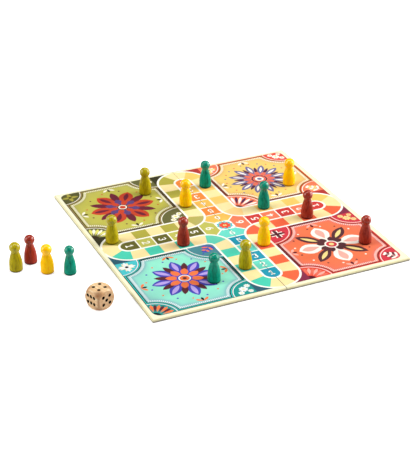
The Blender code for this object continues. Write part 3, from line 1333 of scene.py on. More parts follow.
@dataclass(frozen=True)
class PrintFinish(Finish):
    """Inked and varnished paper, scuffed to its fibres along the edges."""

    fibre: Ink = Ink.SNOW
    wash: Pair = (90.0, 0.16)
    speckle: Pair = (1500.0, 0.10)
    scuff_scale: Triple = (700.0, 700.0, 700.0)
    scuff_detail: float = 5.0
    tooth_scale: Triple = (2600.0, 2600.0, 2600.0)
    tooth_detail: float = 3.0
    tooth_depth: float = 0.00002
    gloss: float = 0.1

    def dress(self, nodes: Nodes) -> None:
        """Ink from the mesh, with a faint wash, paper tooth and scuffed edges.

        Args:
            nodes: The material's tree.
        """
        washed = nodes.mottled(nodes.attribute("ink", "Color"), *self.wash)
        speckled = nodes.mottled(washed, *self.speckle)
        scuffs = nodes.grain(self.scuff_scale, self.scuff_detail)
        worn = nodes.maths("MULTIPLY", scuffs, nodes.attribute("wear"))
        colour = nodes.blended(worn, speckled, self.fibre.tone)
        tooth = nodes.grain(self.tooth_scale, self.tooth_detail)
        self.finish_off(nodes, colour, tooth, self.tooth_depth, {"Specular IOR Level": self.gloss})


@dataclass(frozen=True)
class PaintFinish(Finish):
    """Glossy paint over turned wood, with the wood's grain showing a little."""

    tone: Tone
    deep: Tone
    streak_scale: Triple = (720.0, 720.0, 150.0)
    streak_detail: float = 4.0
    streak_span: Pair = (0.46, 0.66)
    streak_most: float = 0.7
    # the foot's painted contact shadow: where it fades out, its least share and its tone
    foot_shadow_span: Pair = (0.0008, 0.0022)
    foot_shadow_least: float = 0.85
    foot_shade: float = 0.3
    patches: Pair = (420.0, 0.26)
    ring_scale: Triple = (160.0, 160.0, 1800.0)
    ring_detail: float = 2.0
    depth: float = 0.00004
    gloss: float = 0.11
    polish_span: Pair = (0.013, 0.018)
    polish_most: float = 0.6
    polish_roughness: float = 0.05

    def dress(self, nodes: Nodes) -> None:
        """Paint that pools along the upright grain, with faint turning rings, a polished head and a
        painted contact shadow at the foot.

        Args:
            nodes: The material's tree.
        """
        streaks = nodes.grain(self.streak_scale, self.streak_detail)
        pooled = nodes.ranged(streaks, self.streak_span, self.streak_most)
        streaked = nodes.blended(pooled, self.tone, self.deep)
        # painted contact shadow: the colour darkens towards the foot
        rise = nodes.attribute("rise")
        foot_shadow = nodes.ranged(rise, self.foot_shadow_span, 0.0, self.foot_shadow_least)
        shaded = nodes.blended(foot_shadow, streaked, tuple(self.foot_shade * c for c in self.deep))
        colour = nodes.mottled(shaded, *self.patches)
        rings = nodes.grain(self.ring_scale, self.ring_detail)
        surface = nodes.maths("MULTIPLY", nodes.maths("ADD", rings, streaks), 0.5)
        shine = {
            "Specular IOR Level": self.gloss,
            "Coat Weight": nodes.ranged(rise, self.polish_span, self.polish_most),
            "Coat Roughness": self.polish_roughness,
        }
        self.finish_off(nodes, colour, surface, self.depth, shine)


@dataclass(frozen=True)
class BeechFinish(Finish):
    """Bare sanded beech with fine short flecks, browner at the corners, along the upright edges and on
    the end faces: partly wood cut across the grain, partly painted shade.

    Each browning gives where it starts and where it is full, as shares of the die's half width, and
    its share of the browned tone.
    """

    pale: Tone
    warm: Tone
    fleck: Tone
    round_cut_and_shade: Tone
    centre: Triple
    yaw: float
    half: float
    band_scale: Triple = (420.0, 60.0, 420.0)
    band_detail: float = 4.0
    band_span: Pair = (0.38, 0.64)
    fleck_scale: Triple = (3600.0, 500.0, 3600.0)
    fleck_detail: float = 2.0
    fleck_span: Pair = (0.6, 0.72)
    fleck_most: float = 0.4
    patches: Pair = (300.0, 0.1)
    depth: float = 0.00002
    edge_browning: Triple = (0.62, 0.95, 0.6)
    corner_browning: Triple = (0.2, 0.8, 0.75)
    end_browning: Triple = (0.97, 0.995, 0.42)

    def dress(self, nodes: Nodes) -> None:
        """Drawn-out growth bands with flecks along the grain, and browner corners and edges, partly
        cut grain and partly painted shade.

        Args:
            nodes: The material's tree.
        """
        values = {"Vector": nodes.place(), "Location": self.centre, "Rotation": (0.0, 0.0, self.yaw)}
        place = nodes.add("ShaderNodeMapping", values, vector_type="TEXTURE").outputs["Vector"]
        bands = nodes.grain(self.band_scale, self.band_detail, place)
        banded = nodes.blended(nodes.ranged(bands, self.band_span), self.pale, self.warm)
        flecks = nodes.grain(self.fleck_scale, self.fleck_detail, place)
        fleck_share = nodes.ranged(flecks, self.fleck_span, self.fleck_most)
        flecked = nodes.blended(fleck_share, banded, self.fleck)
        browned_and_shaded = nodes.blended(self.grain_and_shade(nodes, place), flecked, self.round_cut_and_shade)
        self.finish_off(nodes, nodes.mottled(browned_and_shaded, *self.patches), flecks, self.depth)

    def grain_and_shade(self, nodes: Nodes, place: Socket) -> Socket:
        """How far the wood is browned, partly for its cut grain and partly as painted shade.

        Args:
            nodes: Tree that the mask goes in.
            place: Socket of the place along the die's own axes, from its middle.

        Returns:
            Socket of the share, high at the corners and the upright edges, and some on the end faces.
        """
        sides = nodes.add("ShaderNodeVectorMath", {0: place}, operation="ABSOLUTE")
        across, along, up = nodes.add("ShaderNodeSeparateXYZ", {0: sides.outputs[0]}).outputs
        edge = nodes.maths("MINIMUM", across, along)
        corner = nodes.maths("MINIMUM", edge, up)
        shares = []
        for reach, cut in ((edge, self.edge_browning), (corner, self.corner_browning), (along, self.end_browning)):
            start, end, most = cut
            span = (self.half * start, self.half * end)
            shares.append(nodes.ranged(reach, span, most, curve="SMOOTHSTEP"))
        return nodes.maths("MAXIMUM", nodes.maths("MAXIMUM", *shares[:2]), shares[2])


@dataclass(frozen=True)
class FibreFinish(Finish):
    """Paper or board of pressed fibres, with specks."""

    tone: Tone
    speck: Tone
    coarse: float
    depth: float
    gloss: float = 0.5
    speck_detail: float = 6.0
    speck_span: Pair = (0.58, 0.74)
    speck_most: float = 0.7
    felt_draw: Triple = (1.7, 0.8, 1.7)
    felt_detail: float = 4.0
    clouds: Pair = (70.0, 0.14)

    def dress(self, nodes: Nodes) -> None:
        """Cloudy tone with scattered specks and a felted surface.

        Args:
            nodes: The material's tree.
        """
        specks = nodes.grain((self.coarse, self.coarse, self.coarse), self.speck_detail)
        share = nodes.ranged(specks, self.speck_span, self.speck_most)
        colour = nodes.mottled(nodes.blended(share, self.tone, self.speck), *self.clouds)
        felt = nodes.grain(tuple(self.coarse * draw for draw in self.felt_draw), self.felt_detail)
        self.finish_off(nodes, colour, felt, self.depth, {"Specular IOR Level": self.gloss})


@dataclass(frozen=True)
class WeaveFinish(Finish):
    """Plain woven cloth tape."""

    high: Tone
    low: Tone
    threads: float
    waver: float = 0.4
    thread_detail: float = 1.0
    patches: Pair = (120.0, 0.2)
    depth: float = 0.00012

    def dress(self, nodes: Nodes) -> None:
        """Warp and weft as two crossed waves, darker where they dip.

        Args:
            nodes: The material's tree.
        """
        values = {
            "Vector": nodes.place(),
            "Scale": self.threads,
            "Distortion": self.waver,
            "Detail": self.thread_detail,
        }
        warp, weft = (
            nodes.add("ShaderNodeTexWave", values, bands_direction=axis).outputs["Fac"]
            for axis in ("X", "Y")
        )
        weave = nodes.maths("MULTIPLY", warp, weft)
        colour = nodes.mottled(nodes.blended(weave, self.low, self.high), *self.patches)
        self.finish_off(nodes, colour, weave, self.depth)


EFFECTS = {"mottle": mottle_group(), "grain": grain_group()}
PRINT = PrintFinish("varnished_print", 0.42, 0.58)
LINER = FibreFinish(
    "liner_paper_fibre", 0.55, 0.75, linear("E4D9B8"), linear("B9A97F"), 1400.0, 0.00004
)
GREYBOARD = FibreFinish(
    "greyboard_fibre", 0.85, 0.98, linear("9A8F80"), linear("5E564C"), 900.0, 0.00012
)
TAPE = WeaveFinish("woven_tape", 0.7, 0.9, linear("D9C99C"), linear("A8956A"), 420.0)
PIP = FibreFinish("pip_ink", 0.8, 0.95, linear("0A0603"), linear("140C06"), 1800.0, 0.00002, 0.05)
PAINTS = {
    colour: PaintFinish(f"{colour}_gloss", 0.07, 0.16, linear(tone, density), linear(deep, density))
    for colour, tone, deep, density in (
        ("olive", "C3B20C", "8E7C00", INK_DENSITY),
        ("red", "AC3826", "721910", INK_DENSITY),
        ("yellow", "FFC800", "FFA800", 1.0),
        ("teal", "009A7E", "005A46", INK_DENSITY),
    )
}
PAWNS_EACH = 4
SLENDER_COLOURS = ("red", "teal")
SLIM_PAWNS = {("teal", 4): 0.94}


def new_object(name: str, data: bpy.types.ID) -> bpy.types.Object:
    """Put a mesh, light or camera in the scene.

    Args:
        name: Name of the object.
        data: The mesh, light or camera.

    Returns:
        The object.
    """
    thing = bpy.data.objects.new(name, data)
    bpy.context.scene.collection.objects.link(thing)
    return thing


def aim(thing: bpy.types.Object, place: Triple, target: Triple) -> None:
    """Put a light or camera at a place, looking at a target."""
    thing.location = place
    thing.rotation_euler = (Vector(target) - Vector(place)).to_track_quat("-Z", "Y").to_euler()


def hold(mesh: bpy.types.Mesh, name: str, values: Sequence[float]) -> None:
    """Give each point of a mesh a value under a name."""
    mesh.attributes.new(name, "FLOAT", "POINT").data.foreach_set("value", values)


def hold_ink(mesh: bpy.types.Mesh, tones: Sequence[Tone], domain: str) -> None:
    """Give each point or corner of a mesh its ink."""
    channels = [channel for tone in tones for channel in tone]
    mesh.attributes.new("ink", "FLOAT_COLOR", domain).data.foreach_set("color", channels)


def grow(
    name: str, mesh: bpy.types.Mesh, tree: Tree, sizes: dict[str, object]
) -> bpy.types.Object:
    """Run a Geometry Nodes tree on a mesh and keep the result as a plain mesh.

    Args:
        name: Name of the piece.
        mesh: Mesh that the tree starts from.
        tree: The tree.
        sizes: Values for the tree's named inputs.

    Returns:
        The piece's object, with no modifier left on it.
    """
    thing = new_object(name, mesh)
    modifier = thing.modifiers.new(tree.name, "NODES")
    modifier.node_group = tree
    for socket in tree.interface.items_tree:
        if socket.in_out == "INPUT" and socket.name in sizes:
            modifier[socket.identifier] = sizes[socket.name]
    evaluated = thing.evaluated_get(bpy.context.evaluated_depsgraph_get())
    made = bpy.data.meshes.new_from_object(evaluated)
    thing.modifiers.remove(modifier)
    thing.data = made
    bpy.data.meshes.remove(mesh)
    made.name = name
    return thing


def outline_mesh(name: str, loops: Sequence[Sequence[Vector]], closed: bool) -> bpy.types.Mesh:
    """Mesh of bare edges along some paths.

    Args:
        name: Name of the mesh.
        loops: Points of each path, in metres.
        closed: Whether each path runs back to its start.

    Returns:
        The mesh.
    """
    points: list[Vector] = []
    edges: list[tuple[int, int]] = []
    for loop in loops:
        start = len(points)
        points.extend(loop)
        edges += [(start + k, start + k + 1) for k in range(len(loop) - 1)]
        if closed:
            edges.append((len(points) - 1, start))
    mesh = bpy.data.meshes.new(name)
    mesh.from_pydata(points, edges, [])
    return mesh


def tick_tree() -> Tree:
    """Geometry Nodes tree that sets short ink ticks across a path.

    Returns:
        The tree, with the ticks' pitch, size and finish as its inputs.
    """
    inputs = (
        ("Path", "NodeSocketGeometry"),
        ("Pitch", "NodeSocketFloat", 0.0015),
        ("Tick Size", "NodeSocketVector", (0.0005, 0.0013, 0.00005)),
        ("Finish", "NodeSocketMaterial"),
    )
    nodes = new_group("frame_ticks", "GeometryNodeTree", inputs, ("Ticks", "NodeSocketGeometry"))
    given = nodes.add("NodeGroupInput").outputs
    path = nodes.add("GeometryNodeMeshToCurve", {"Mesh": given["Path"]})
    values = {"Curve": path.outputs[0], "Length": given["Pitch"]}
    spaced = nodes.add("GeometryNodeResampleCurve", values, mode="LENGTH")
    tangent = nodes.add("GeometryNodeInputTangent")
    values = {"Vector": tangent.outputs[0]}
    turned = nodes.add("FunctionNodeAlignRotationToVector", values, axis="X")
    tick = nodes.add("GeometryNodeMeshCube", {"Size": given["Tick Size"]})
    values = {
        "Points": spaced.outputs[0],
        "Instance": tick.outputs["Mesh"],
        "Rotation": turned.outputs[0],
    }
    placed = nodes.add("GeometryNodeInstanceOnPoints", values)
    nodes.realized(placed.outputs[0], given["Finish"], "Ticks")
    return nodes.tree


def turning_tree() -> Tree:
    """Geometry Nodes tree that turns a piece on a lathe.

    Returns:
        The tree. It starts from a line up the lathe's axis whose points hold the girth there.
    """
    inputs = (
        ("Axis", "NodeSocketGeometry"),
        ("Sides", "NodeSocketInt", 56),
        ("Finish", "NodeSocketMaterial"),
    )
    nodes = new_group("lathe_turning", "GeometryNodeTree", inputs, ("Turning", "NodeSocketGeometry"))
    given = nodes.add("NodeGroupInput").outputs
    girth = nodes.add("GeometryNodeInputNamedAttribute", {"Name": "girth"}, data_type="FLOAT")
    axis = nodes.add("GeometryNodeMeshToCurve", {"Mesh": given["Axis"]})
    values = {"Resolution": given["Sides"], "Radius": 1.0}
    ring = nodes.add("GeometryNodeCurvePrimitiveCircle", values)
    values = {
        "Curve": axis.outputs[0],
        "Profile Curve": ring.outputs[0],
        "Scale": girth.outputs[0],
        "Fill Caps": True,
    }
    skin = nodes.add("GeometryNodeCurveToMesh", values)
    values = {"Geometry": skin.outputs[0], "Distance": TURNING_WELD}
    sealed = nodes.add("GeometryNodeMergeByDistance", values)
    smooth = nodes.add("GeometryNodeSetShadeSmooth", {"Geometry": sealed.outputs[0]})
    nodes.realized(smooth.outputs[0], given["Finish"], "Turning")
    return nodes.tree


def drilling_tree() -> Tree:
    """Geometry Nodes tree that drills and inks a pip at each point of a mesh.

    Returns:
        The tree. It starts from the pips' points, and the block is one of its inputs.
    """
    inputs = (
        ("Spots", "NodeSocketGeometry"),
        ("Block", "NodeSocketObject"),
        ("Pip Radius", "NodeSocketFloat", 0.001),
        ("Wood", "NodeSocketMaterial"),
        ("Ink", "NodeSocketMaterial"),
    )
    nodes = new_group("pip_drilling", "GeometryNodeTree", inputs, ("Drilled", "NodeSocketGeometry"))
    given = nodes.add("NodeGroupInput").outputs
    whole = nodes.add("GeometryNodeObjectInfo", {"Object": given["Block"]})
    values = {"Geometry": whole.outputs["Geometry"], "Material": given["Wood"]}
    wood = nodes.add("GeometryNodeSetMaterial", values)
    values = {"Radius": given["Pip Radius"], "Subdivisions": DRILL_SUBDIVISIONS}
    drill = nodes.add("GeometryNodeMeshIcoSphere", values)
    values = {"Geometry": drill.outputs["Mesh"], "Material": given["Ink"]}
    inked = nodes.add("GeometryNodeSetMaterial", values)
    values = {"Points": given["Spots"], "Instance": inked.outputs[0]}
    placed = nodes.add("GeometryNodeInstanceOnPoints", values)
    drills = nodes.add("GeometryNodeRealizeInstances", {"Geometry": placed.outputs[0]})
    values = {"Mesh 1": wood.outputs[0], "Mesh 2": drills.outputs[0]}
    drilled = nodes.add("GeometryNodeMeshBoolean", values, operation="DIFFERENCE", solver="EXACT")
    cups = nodes.add("GeometryNodeMaterialSelection", {"Material": given["Ink"]})
    nodes.realized(drilled.outputs["Mesh"], given["Ink"], "Drilled", cups.outputs[0])
    return nodes.tree


@dataclass
class PrintedHalf:
    """Printed sheet wrapped round one half of the board, in millimetres."""

    side: int
    name: str
    painting: Painting
    tree: Tree
    half: float = 125.0
    fold: Pair = (0.26, 0.14)
    fold_near: float = 1e-3
    top: float = 3.0
    paper: float = 0.3
    edge: float = 1.0
    edge_share: float = 0.9
    edge_wear: float = 0.4
    corner: float = 1.6
    turn_in: float = 5.0
    edge_steps: int = 6
    corner_steps: int = 8
    least_round: float = 0.08
    sharp: float = math.radians(35)
    tick_pitch: float = 1.8
    tick_size: Triple = (0.95, 2.3, 0.05)
    tick_steps: int = 24
    # heights in millimetres where the painted contact shadow is full and where it ends
    shadow_band: Pair = (0.95, 1.7)

    @property
    def body(self) -> str:
        """Body that the half rides on."""
        return f"{self.name}_half"

    def outline(self, inset: float) -> Outline:
        """Outline of the half from above, from the fold round both outer corners to the fold.

        Args:
            inset: How far the outline lies inside the board's outer edges.

        Returns:
            The outline, without its straight side along the fold.
        """
        reach = self.half - inset
        radius = max(self.corner - inset, self.least_round)
        centre = reach - radius
        front = arc(Vector((centre, -centre)), radius, -90.0, 0.0, self.corner_steps)
        back = arc(Vector((centre, centre)), radius, 0.0, 90.0, self.corner_steps)
        first, last = (Vector((self.fold_at(y), y)) for y in (-reach, reach))
        return [Vector((self.side * p.x, p.y)) for p in (first, *front, *back, last)]

    def fold_at(self, y: float) -> float:
        """Half the gap of the fold, which closes a little towards the back."""
        front, back = self.fold
        return front + (back - front) * (y / self.half + 1) / 2

    def profile(self) -> list[Pair]:
        """Inset and height of each ring of the wrap.

        Returns:
            Rings from under the top sheet, down inside and out round the turned-in edge, to the print.
        """
        turns = [k / self.edge_steps * math.pi / 2 for k in range(self.edge_steps + 1)]
        draws = [(1 - math.sin(a), 1 - math.cos(a)) for a in turns]
        inner = self.edge - self.paper
        rings = [(self.paper + inner * i, self.top - self.paper - inner * z) for i, z in draws]
        rings += [(self.paper + inner * i, self.paper + inner * z) for i, z in reversed(draws)]
        rings += [(self.turn_in, self.paper), (self.turn_in, 0.0)]
        rings += [(self.edge * i, self.edge * z) for i, z in draws]
        rings += [(self.edge * i, self.top - self.edge * z) for i, z in reversed(draws)]
        return rings

    def edge_shade_tone(self, place: Vector) -> Tone:
        """Tone of the paper round the edge: a painted shade, darkening to a painted contact shadow low
        down on the outer side, where it turns under.

        Args:
            place: Place on the edge.

        Returns:
            The tone there.
        """
        shadow_full, shadow_end = self.shadow_band
        outer = max(abs(place.x), abs(place.y)) > self.half - self.edge * self.edge_share
        share = min(max((shadow_end - place.z) / (shadow_end - shadow_full), 0.0), 1.0) if outer else 0.0
        return between(Ink.EDGE.tone, Ink.GRIME.tone, share)

    def build(self) -> bpy.types.Object:
        """Build the wrap: printed top, rounded edges, turned-in flaps and the cut along the fold.

        Returns:
            The piece's object.
        """
        rings = self.profile()
        face = self.painting.tessellate(self.outline(self.edge), self.side)
        points = [Vector((p.x, p.y, self.top)) for p in face.points]
        faces: list[Sequence[int]] = list(face.triangles)
        tones = list(face.tones)
        loops: list[list[int]] = []
        for inset, height in rings[:-1]:
            start = len(points)
            points.extend(Vector((p.x, p.y, height)) for p in self.outline(inset))
            loops.append(list(range(start, len(points))))
        loops.append(face.border)
        for lower, upper in zip(loops, loops[1:]):
            for k in range(len(lower) - 1):
                faces.append((lower[k], lower[k + 1], upper[k + 1], upper[k]))
        faces.append(loops[0])
        along = self.along_fold(face)
        faces.append([loop[0] for loop in loops] + along + [loop[-1] for loop in reversed(loops)])
        # painted shade on the wrap's sides, darkening to a painted contact shadow low on the outer
        # edges
        for wrap_face in faces[len(face.triangles) : -1]:
            tones += [self.edge_shade_tone(points[k]) for k in wrap_face]
        # the cut along the fold: dark greyboard with painted shade for the gap
        tones += [Ink.CUT.tone] * len(faces[-1])
        wear = [0.0] * len(points)
        for (inset, _), loop in zip(rings, loops):
            if inset < self.edge * self.edge_share:
                for k in loop:
                    wear[k] = self.edge_wear

        mesh = bpy.data.meshes.new(f"{self.name}_printed_wrap")
        mesh.from_pydata([p * MM for p in points], [], faces)
        hold_ink(mesh, tones, "CORNER")
        hold(mesh, "wear", wear)
        self.face_outwards(mesh)
        mesh.shade_smooth()
        mesh.set_sharp_from_angle(angle=self.sharp)
        mesh.materials.append(PRINT.material())
        return new_object(mesh.name, mesh)

    def along_fold(self, face: Tessellation) -> list[int]:
        """Corners of the print that lie on its straight side along the fold.

        Args:
            face: The half's print.

        Returns:
            Their numbers, from the front to the back, without the two ends of the side.
        """
        used = {corner for triangle in face.triangles for corner in triangle}
        found = []
        for k in used - set(face.border):
            place = face.points[k]
            if abs(place.x - self.side * self.fold_at(place.y)) < self.fold_near:
                found.append(k)
        return sorted(found, key=lambda k: face.points[k].y)

    def face_outwards(self, mesh: bpy.types.Mesh) -> None:
        """Turn every face of the closed wrap to the outside.

        Args:
            mesh: Mesh of the wrap.
        """
        shape = bmesh.new()
        shape.from_mesh(mesh)
        bmesh.ops.recalc_face_normals(shape, faces=shape.faces)
        shape.to_mesh(mesh)
        shape.free()

    def build_ticks(self) -> bpy.types.Object:
        """Build the row of ticks inside the frame of each of the half's two yards.

        Returns:
            The piece's object.
        """
        yards = [yard for yard in YARDS if yard.flip[0] == self.side]
        loops = []
        tones: list[Tone] = []
        for yard in yards:
            path = [yard.turn @ p for p in yard.ticket(yard.tick_inset, self.tick_steps)]
            loops.append([Vector((p.x, p.y, self.top)) * MM for p in path])
            tones += [yard.inks.tick.tone] * len(path)
        name = f"{self.name}_frame_ticks"
        mesh = outline_mesh(f"{name}_path", loops, True)
        hold_ink(mesh, tones, "POINT")
        sizes = {
            "Pitch": self.tick_pitch * MM,
            "Tick Size": [size * MM for size in self.tick_size],
            "Finish": PRINT.material(),
        }
        return grow(name, mesh, self.tree, sizes)

    def dress(self) -> None:
        """Put the half together on its body and finish its lining and its core."""
        wrap = self.build()
        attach(wrap, self.body)
        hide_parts(f"{self.name}_print_sheet")
        ticks = self.build_ticks()
        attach(ticks, self.body)
        for node, finish in (("core_board", GREYBOARD), ("back_liner", LINER)):
            refinish(frame["nodes"][f"{self.name}_{node}"], finish)
        for piece in (wrap, ticks):
            LOG.info("%s: %d faces on %s", piece.name, len(piece.data.polygons), self.body)


def refinish(node: bpy.types.Object, finish: Finish) -> None:
    """Give a CAD node a finish in place of its own."""
    node.data.materials.clear()
    node.data.materials.append(finish.material())


@dataclass
class FoldTape:
    """Woven tape under the fold, which hinges the two halves, in millimetres."""

    node: str = "fold_tape"
    hinge: float = 0.2
    hinge_steps: int = 8
    hinge_margin: float = 2.0
    rows: int = 60
    soft_edge: float = 0.12

    def build(self) -> bpy.types.Object:
        """Build the strip with fine steps across the hinge line and softened long edges.

        Returns:
            The piece's object.
        """
        low, high = (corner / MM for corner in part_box(self.node))
        hinge = [self.hinge * (2 * k / self.hinge_steps - 1) for k in range(self.hinge_steps + 1)]
        wing = [self.hinge + self.hinge_margin, high.x / 2, high.x - self.soft_edge]
        across = [-x for x in reversed(wing)] + hinge + wing
        ring = [(x, high.z) for x in across]
        ring += [(high.x, high.z - self.soft_edge), (high.x, low.z + self.soft_edge)]
        ring += [(x, low.z) for x in reversed(across)]
        ring += [(low.x, low.z + self.soft_edge), (low.x, high.z - self.soft_edge)]
        points: list[Vector] = []
        faces: list[Sequence[int]] = []
        count = len(ring)
        for row in range(self.rows + 1):
            y = low.y + (high.y - low.y) * row / self.rows
            points.extend(Vector((x, y, z)) * MM for x, z in ring)
        for row in range(self.rows):
            first, second = row * count, (row + 1) * count
            for k in range(count):
                after = (k + 1) % count
                faces.append((first + k, first + after, second + after, second + k))
        faces.append(list(range(count))[::-1])
        faces.append(list(range(self.rows * count, (self.rows + 1) * count)))
        mesh = bpy.data.meshes.new("fold_tape_woven")
        mesh.from_pydata(points, [], faces)
        mesh.materials.append(TAPE.material())
        return new_object(mesh.name, mesh)

    def dress(self) -> None:
        """Build the strip in place of its CAD node."""
        tape = self.build()
        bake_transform(tape)
        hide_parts(self.node)
        LOG.info("%s: %d faces across the fold", tape.name, len(tape.data.polygons))


@dataclass
class Pawn:
    """Turned and painted pawn, in metres. Its place and height come from its CAD node."""

    colour: str
    number: int
    tree: Tree
    slim: float = 1.0
    head: float = 5.05 * MM
    neck: float = 3.45 * MM
    neck_length: float = 0.3 * MM
    belly: float = 6.0 * MM
    belly_height: float = 6.0 * MM
    foot_round: float = 1.1 * MM
    seat_gap: float = 0.18 * MM
    sides: int = 56
    head_steps: int = 26
    body_steps: int = 20
    foot_steps: int = 6

    @property
    def node(self) -> str:
        """CAD node that the pawn stands for."""
        return f"pawn_{self.colour}_{self.number}"

    def girths(self, height: float) -> list[Pair]:
        """Girth of the pawn from its foot up to the top of its head.

        Args:
            height: Height of the pawn.

        Returns:
            Height and radius of each turned ring.
        """
        rings = []
        for k in range(self.foot_steps + 1):
            turn = k / self.foot_steps * math.pi / 2
            radius = self.belly - self.foot_round * (1 - math.sin(turn))
            rings.append((self.foot_round * (1 - math.cos(turn)), radius))
        head_centre = height - self.head
        neck_turn = math.pi - math.asin(self.neck / self.head)
        shoulder = head_centre + self.head * math.cos(neck_turn) - self.neck_length
        for k in range(self.body_steps, -1, -1):
            part = k / self.body_steps
            radius = self.neck + (self.belly - self.neck) * math.sin(part * math.pi / 2)
            rings.append((shoulder + (self.belly_height - shoulder) * part, radius))
        for k in range(self.head_steps, -1, -1):
            turn = neck_turn * k / self.head_steps
            rings.append((head_centre + self.head * math.cos(turn), self.head * math.sin(turn)))
        return rings

    def build(self) -> bpy.types.Object:
        """Turn the pawn where its CAD node stands.

        Returns:
            The piece's object.
        """
        low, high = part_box(self.node)
        on_board = low.z > self.seat_gap
        base = low.z - (self.seat_gap if on_board else 0.0)
        middle = (low + high) / 2
        rings = self.girths(high.z - base)
        path = [Vector((middle.x, middle.y, base + height)) for height, _ in rings]
        mesh = outline_mesh(f"{self.node}_axis", [path], False)
        hold(mesh, "girth", [radius * self.slim for _, radius in rings])
        sizes = {"Sides": self.sides, "Finish": PAINTS[self.colour].material()}
        pawn = grow(f"{self.node}_painted", mesh, self.tree, sizes)
        # height above the foot, which sets the painted contact shadow at the foot and the polished
        # head
        hold(pawn.data, "rise", [vertex.co.z - base for vertex in pawn.data.vertices])
        return pawn

    def dress(self) -> None:
        """Stand the pawn on its own body."""
        pawn = self.build()
        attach(pawn, f"{self.node}_piece")
        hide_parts(self.node)
        LOG.info("%s: %d faces", pawn.name, len(pawn.data.polygons))


@dataclass
class SlenderPawn(Pawn):
    """Pawn of a slimmer turning, with a longer neck and a lower belly."""

    head: float = 4.75 * MM
    neck: float = 3.3 * MM
    neck_length: float = 0.8 * MM
    belly: float = 5.9 * MM
    belly_height: float = 4.0 * MM


@dataclass
class Die:
    """Ball-cut wooden die with drilled pips, in metres."""

    node: str = "die"
    half: float = 9.0 * MM
    ball: float = 12.3 * MM
    soften: float = 0.5 * MM
    yaw: float = math.radians(20.3)
    pip_radius: float = 1.66 * MM
    pip_spacing: float = 3.45 * MM
    pip_lift: float = 0.35
    six_spread: Pair = (1.13, 0.88)
    six_shift: float = -0.18
    grid: int = 40
    weld: float = 1e-6
    sharp: float = math.radians(40)
    wood_codes: tuple[str, str, str, str] = ("F7DBAC", "E0AC74", "AC7440", "985828")
    wood_roughness: Pair = (0.42, 0.6)
    face_pips: tuple[int, ...] = (4, 3, 5, 2, 6, 1)

    def wood(self, centre: Vector) -> BeechFinish:
        """Beech with its grain along the die's own axes.

        Args:
            centre: Middle of the die.

        Returns:
            The finish.
        """
        tones = [linear(code) for code in self.wood_codes]
        own = (tuple(centre), self.yaw, self.half)
        return BeechFinish("sanded_beech", *self.wood_roughness, *tones, *own)

    def reach(self, way: Vector) -> float:
        """Distance from the die's middle to its surface along a way.

        Args:
            way: Unit vector.

        Returns:
            The nearer of the flat face and the ball, with a soft edge between them.
        """
        flat = self.half / max(abs(c) for c in way)
        share = min(max(0.5 + 0.5 * (self.ball - flat) / self.soften, 0.0), 1.0)
        return self.ball + (flat - self.ball) * share - self.soften * share * (1 - share)

    def block_mesh(self, centre: Vector) -> bpy.types.Mesh:
        """The die before its pips are drilled, as six gridded faces on a cube.

        Args:
            centre: Middle of the die.

        Returns:
            The mesh, in its place.
        """
        shape = bmesh.new()
        turn = Matrix.Rotation(self.yaw, 3, "Z")
        for normal in self.normals():
            side = normal.to_track_quat("Z", "Y").to_matrix()
            rows = []
            for j in range(self.grid + 1):
                row = []
                for i in range(self.grid + 1):
                    u, v = (math.tan((2 * k / self.grid - 1) * math.pi / 4) for k in (i, j))
                    way = (side @ Vector((u, v, 1.0))).normalized()
                    row.append(shape.verts.new(centre + turn @ (way * self.reach(way))))
                rows.append(row)
            for lower, upper in zip(rows, rows[1:]):
                for i in range(self.grid):
                    shape.faces.new((lower[i], lower[i + 1], upper[i + 1], upper[i]))
        bmesh.ops.remove_doubles(shape, verts=shape.verts, dist=self.weld)
        bmesh.ops.recalc_face_normals(shape, faces=shape.faces)
        mesh = bpy.data.meshes.new("die_block")
        shape.to_mesh(mesh)
        shape.free()
        return mesh

    def normals(self) -> list[Vector]:
        """Ways of the faces, in the order of their pips."""
        ways = ((0, 0, 1), (0, 0, -1), (0, -1, 0), (0, 1, 0), (-1, 0, 0), (1, 0, 0))
        return [Vector(way) for way in ways]

    def pip_spots(self, centre: Vector) -> list[Vector]:
        """Middle of each pip on the die's faces.

        Args:
            centre: Middle of the die.

        Returns:
            The middles, a little above the faces, so that the drill leaves a shallow cup.
        """
        turn = Matrix.Rotation(self.yaw, 3, "Z")
        spots = []
        for count, normal in zip(self.face_pips, self.normals()):
            corners = [(-1, -1), (1, 1), (-1, 1), (1, -1)]
            places = corners[: count // 2 * 2] + ([(0, 0)] if count % 2 else [])
            if count == 6:
                across, rows = self.six_spread
                columns = [x * across + self.six_shift for x in (-1, 0, 1)]
                places = [(x, y * rows) for x in columns for y in (-1, 1)]
            side = normal.to_track_quat("Z", "Y").to_matrix()
            lift = self.half + self.pip_radius * self.pip_lift
            for x, y in places:
                spot = Vector((x * self.pip_spacing, y * self.pip_spacing, lift))
                spots.append(centre + turn @ (side @ spot))
        return spots

    def dress(self) -> None:
        """Build the die where its CAD node lies, and ride it on its own body."""
        low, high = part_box(self.node)
        centre = (low + high) / 2
        whole = new_object("die_block", self.block_mesh(centre))
        spots = outline_mesh("die_pips", [[spot] for spot in self.pip_spots(centre)], False)
        sizes = {
            "Block": whole,
            "Pip Radius": self.pip_radius,
            "Wood": self.wood(centre).material(),
            "Ink": PIP.material(),
        }
        die = grow("die_drilled", spots, drilling_tree(), sizes)
        bpy.data.objects.remove(whole)
        die.data.shade_smooth()
        die.data.set_sharp_from_angle(angle=self.sharp)
        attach(die, "die_piece")
        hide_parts(self.node)
        LOG.info("%s: %d faces", die.name, len(die.data.polygons))


@dataclass(frozen=True)
class Softbox:
    """Soft light that looks at the middle of the board, in metres and watts."""

    name: str
    place: Triple
    size: Pair
    power: float

    def hang(self) -> None:
        """Hang the light in its place."""
        lamp = bpy.data.lights.new(self.name, "AREA")
        lamp.energy = self.power
        lamp.shape = "RECTANGLE"
        lamp.size, lamp.size_y = self.size
        aim(new_object(self.name, lamp), self.place, (0.0, 0.0, 0.0))


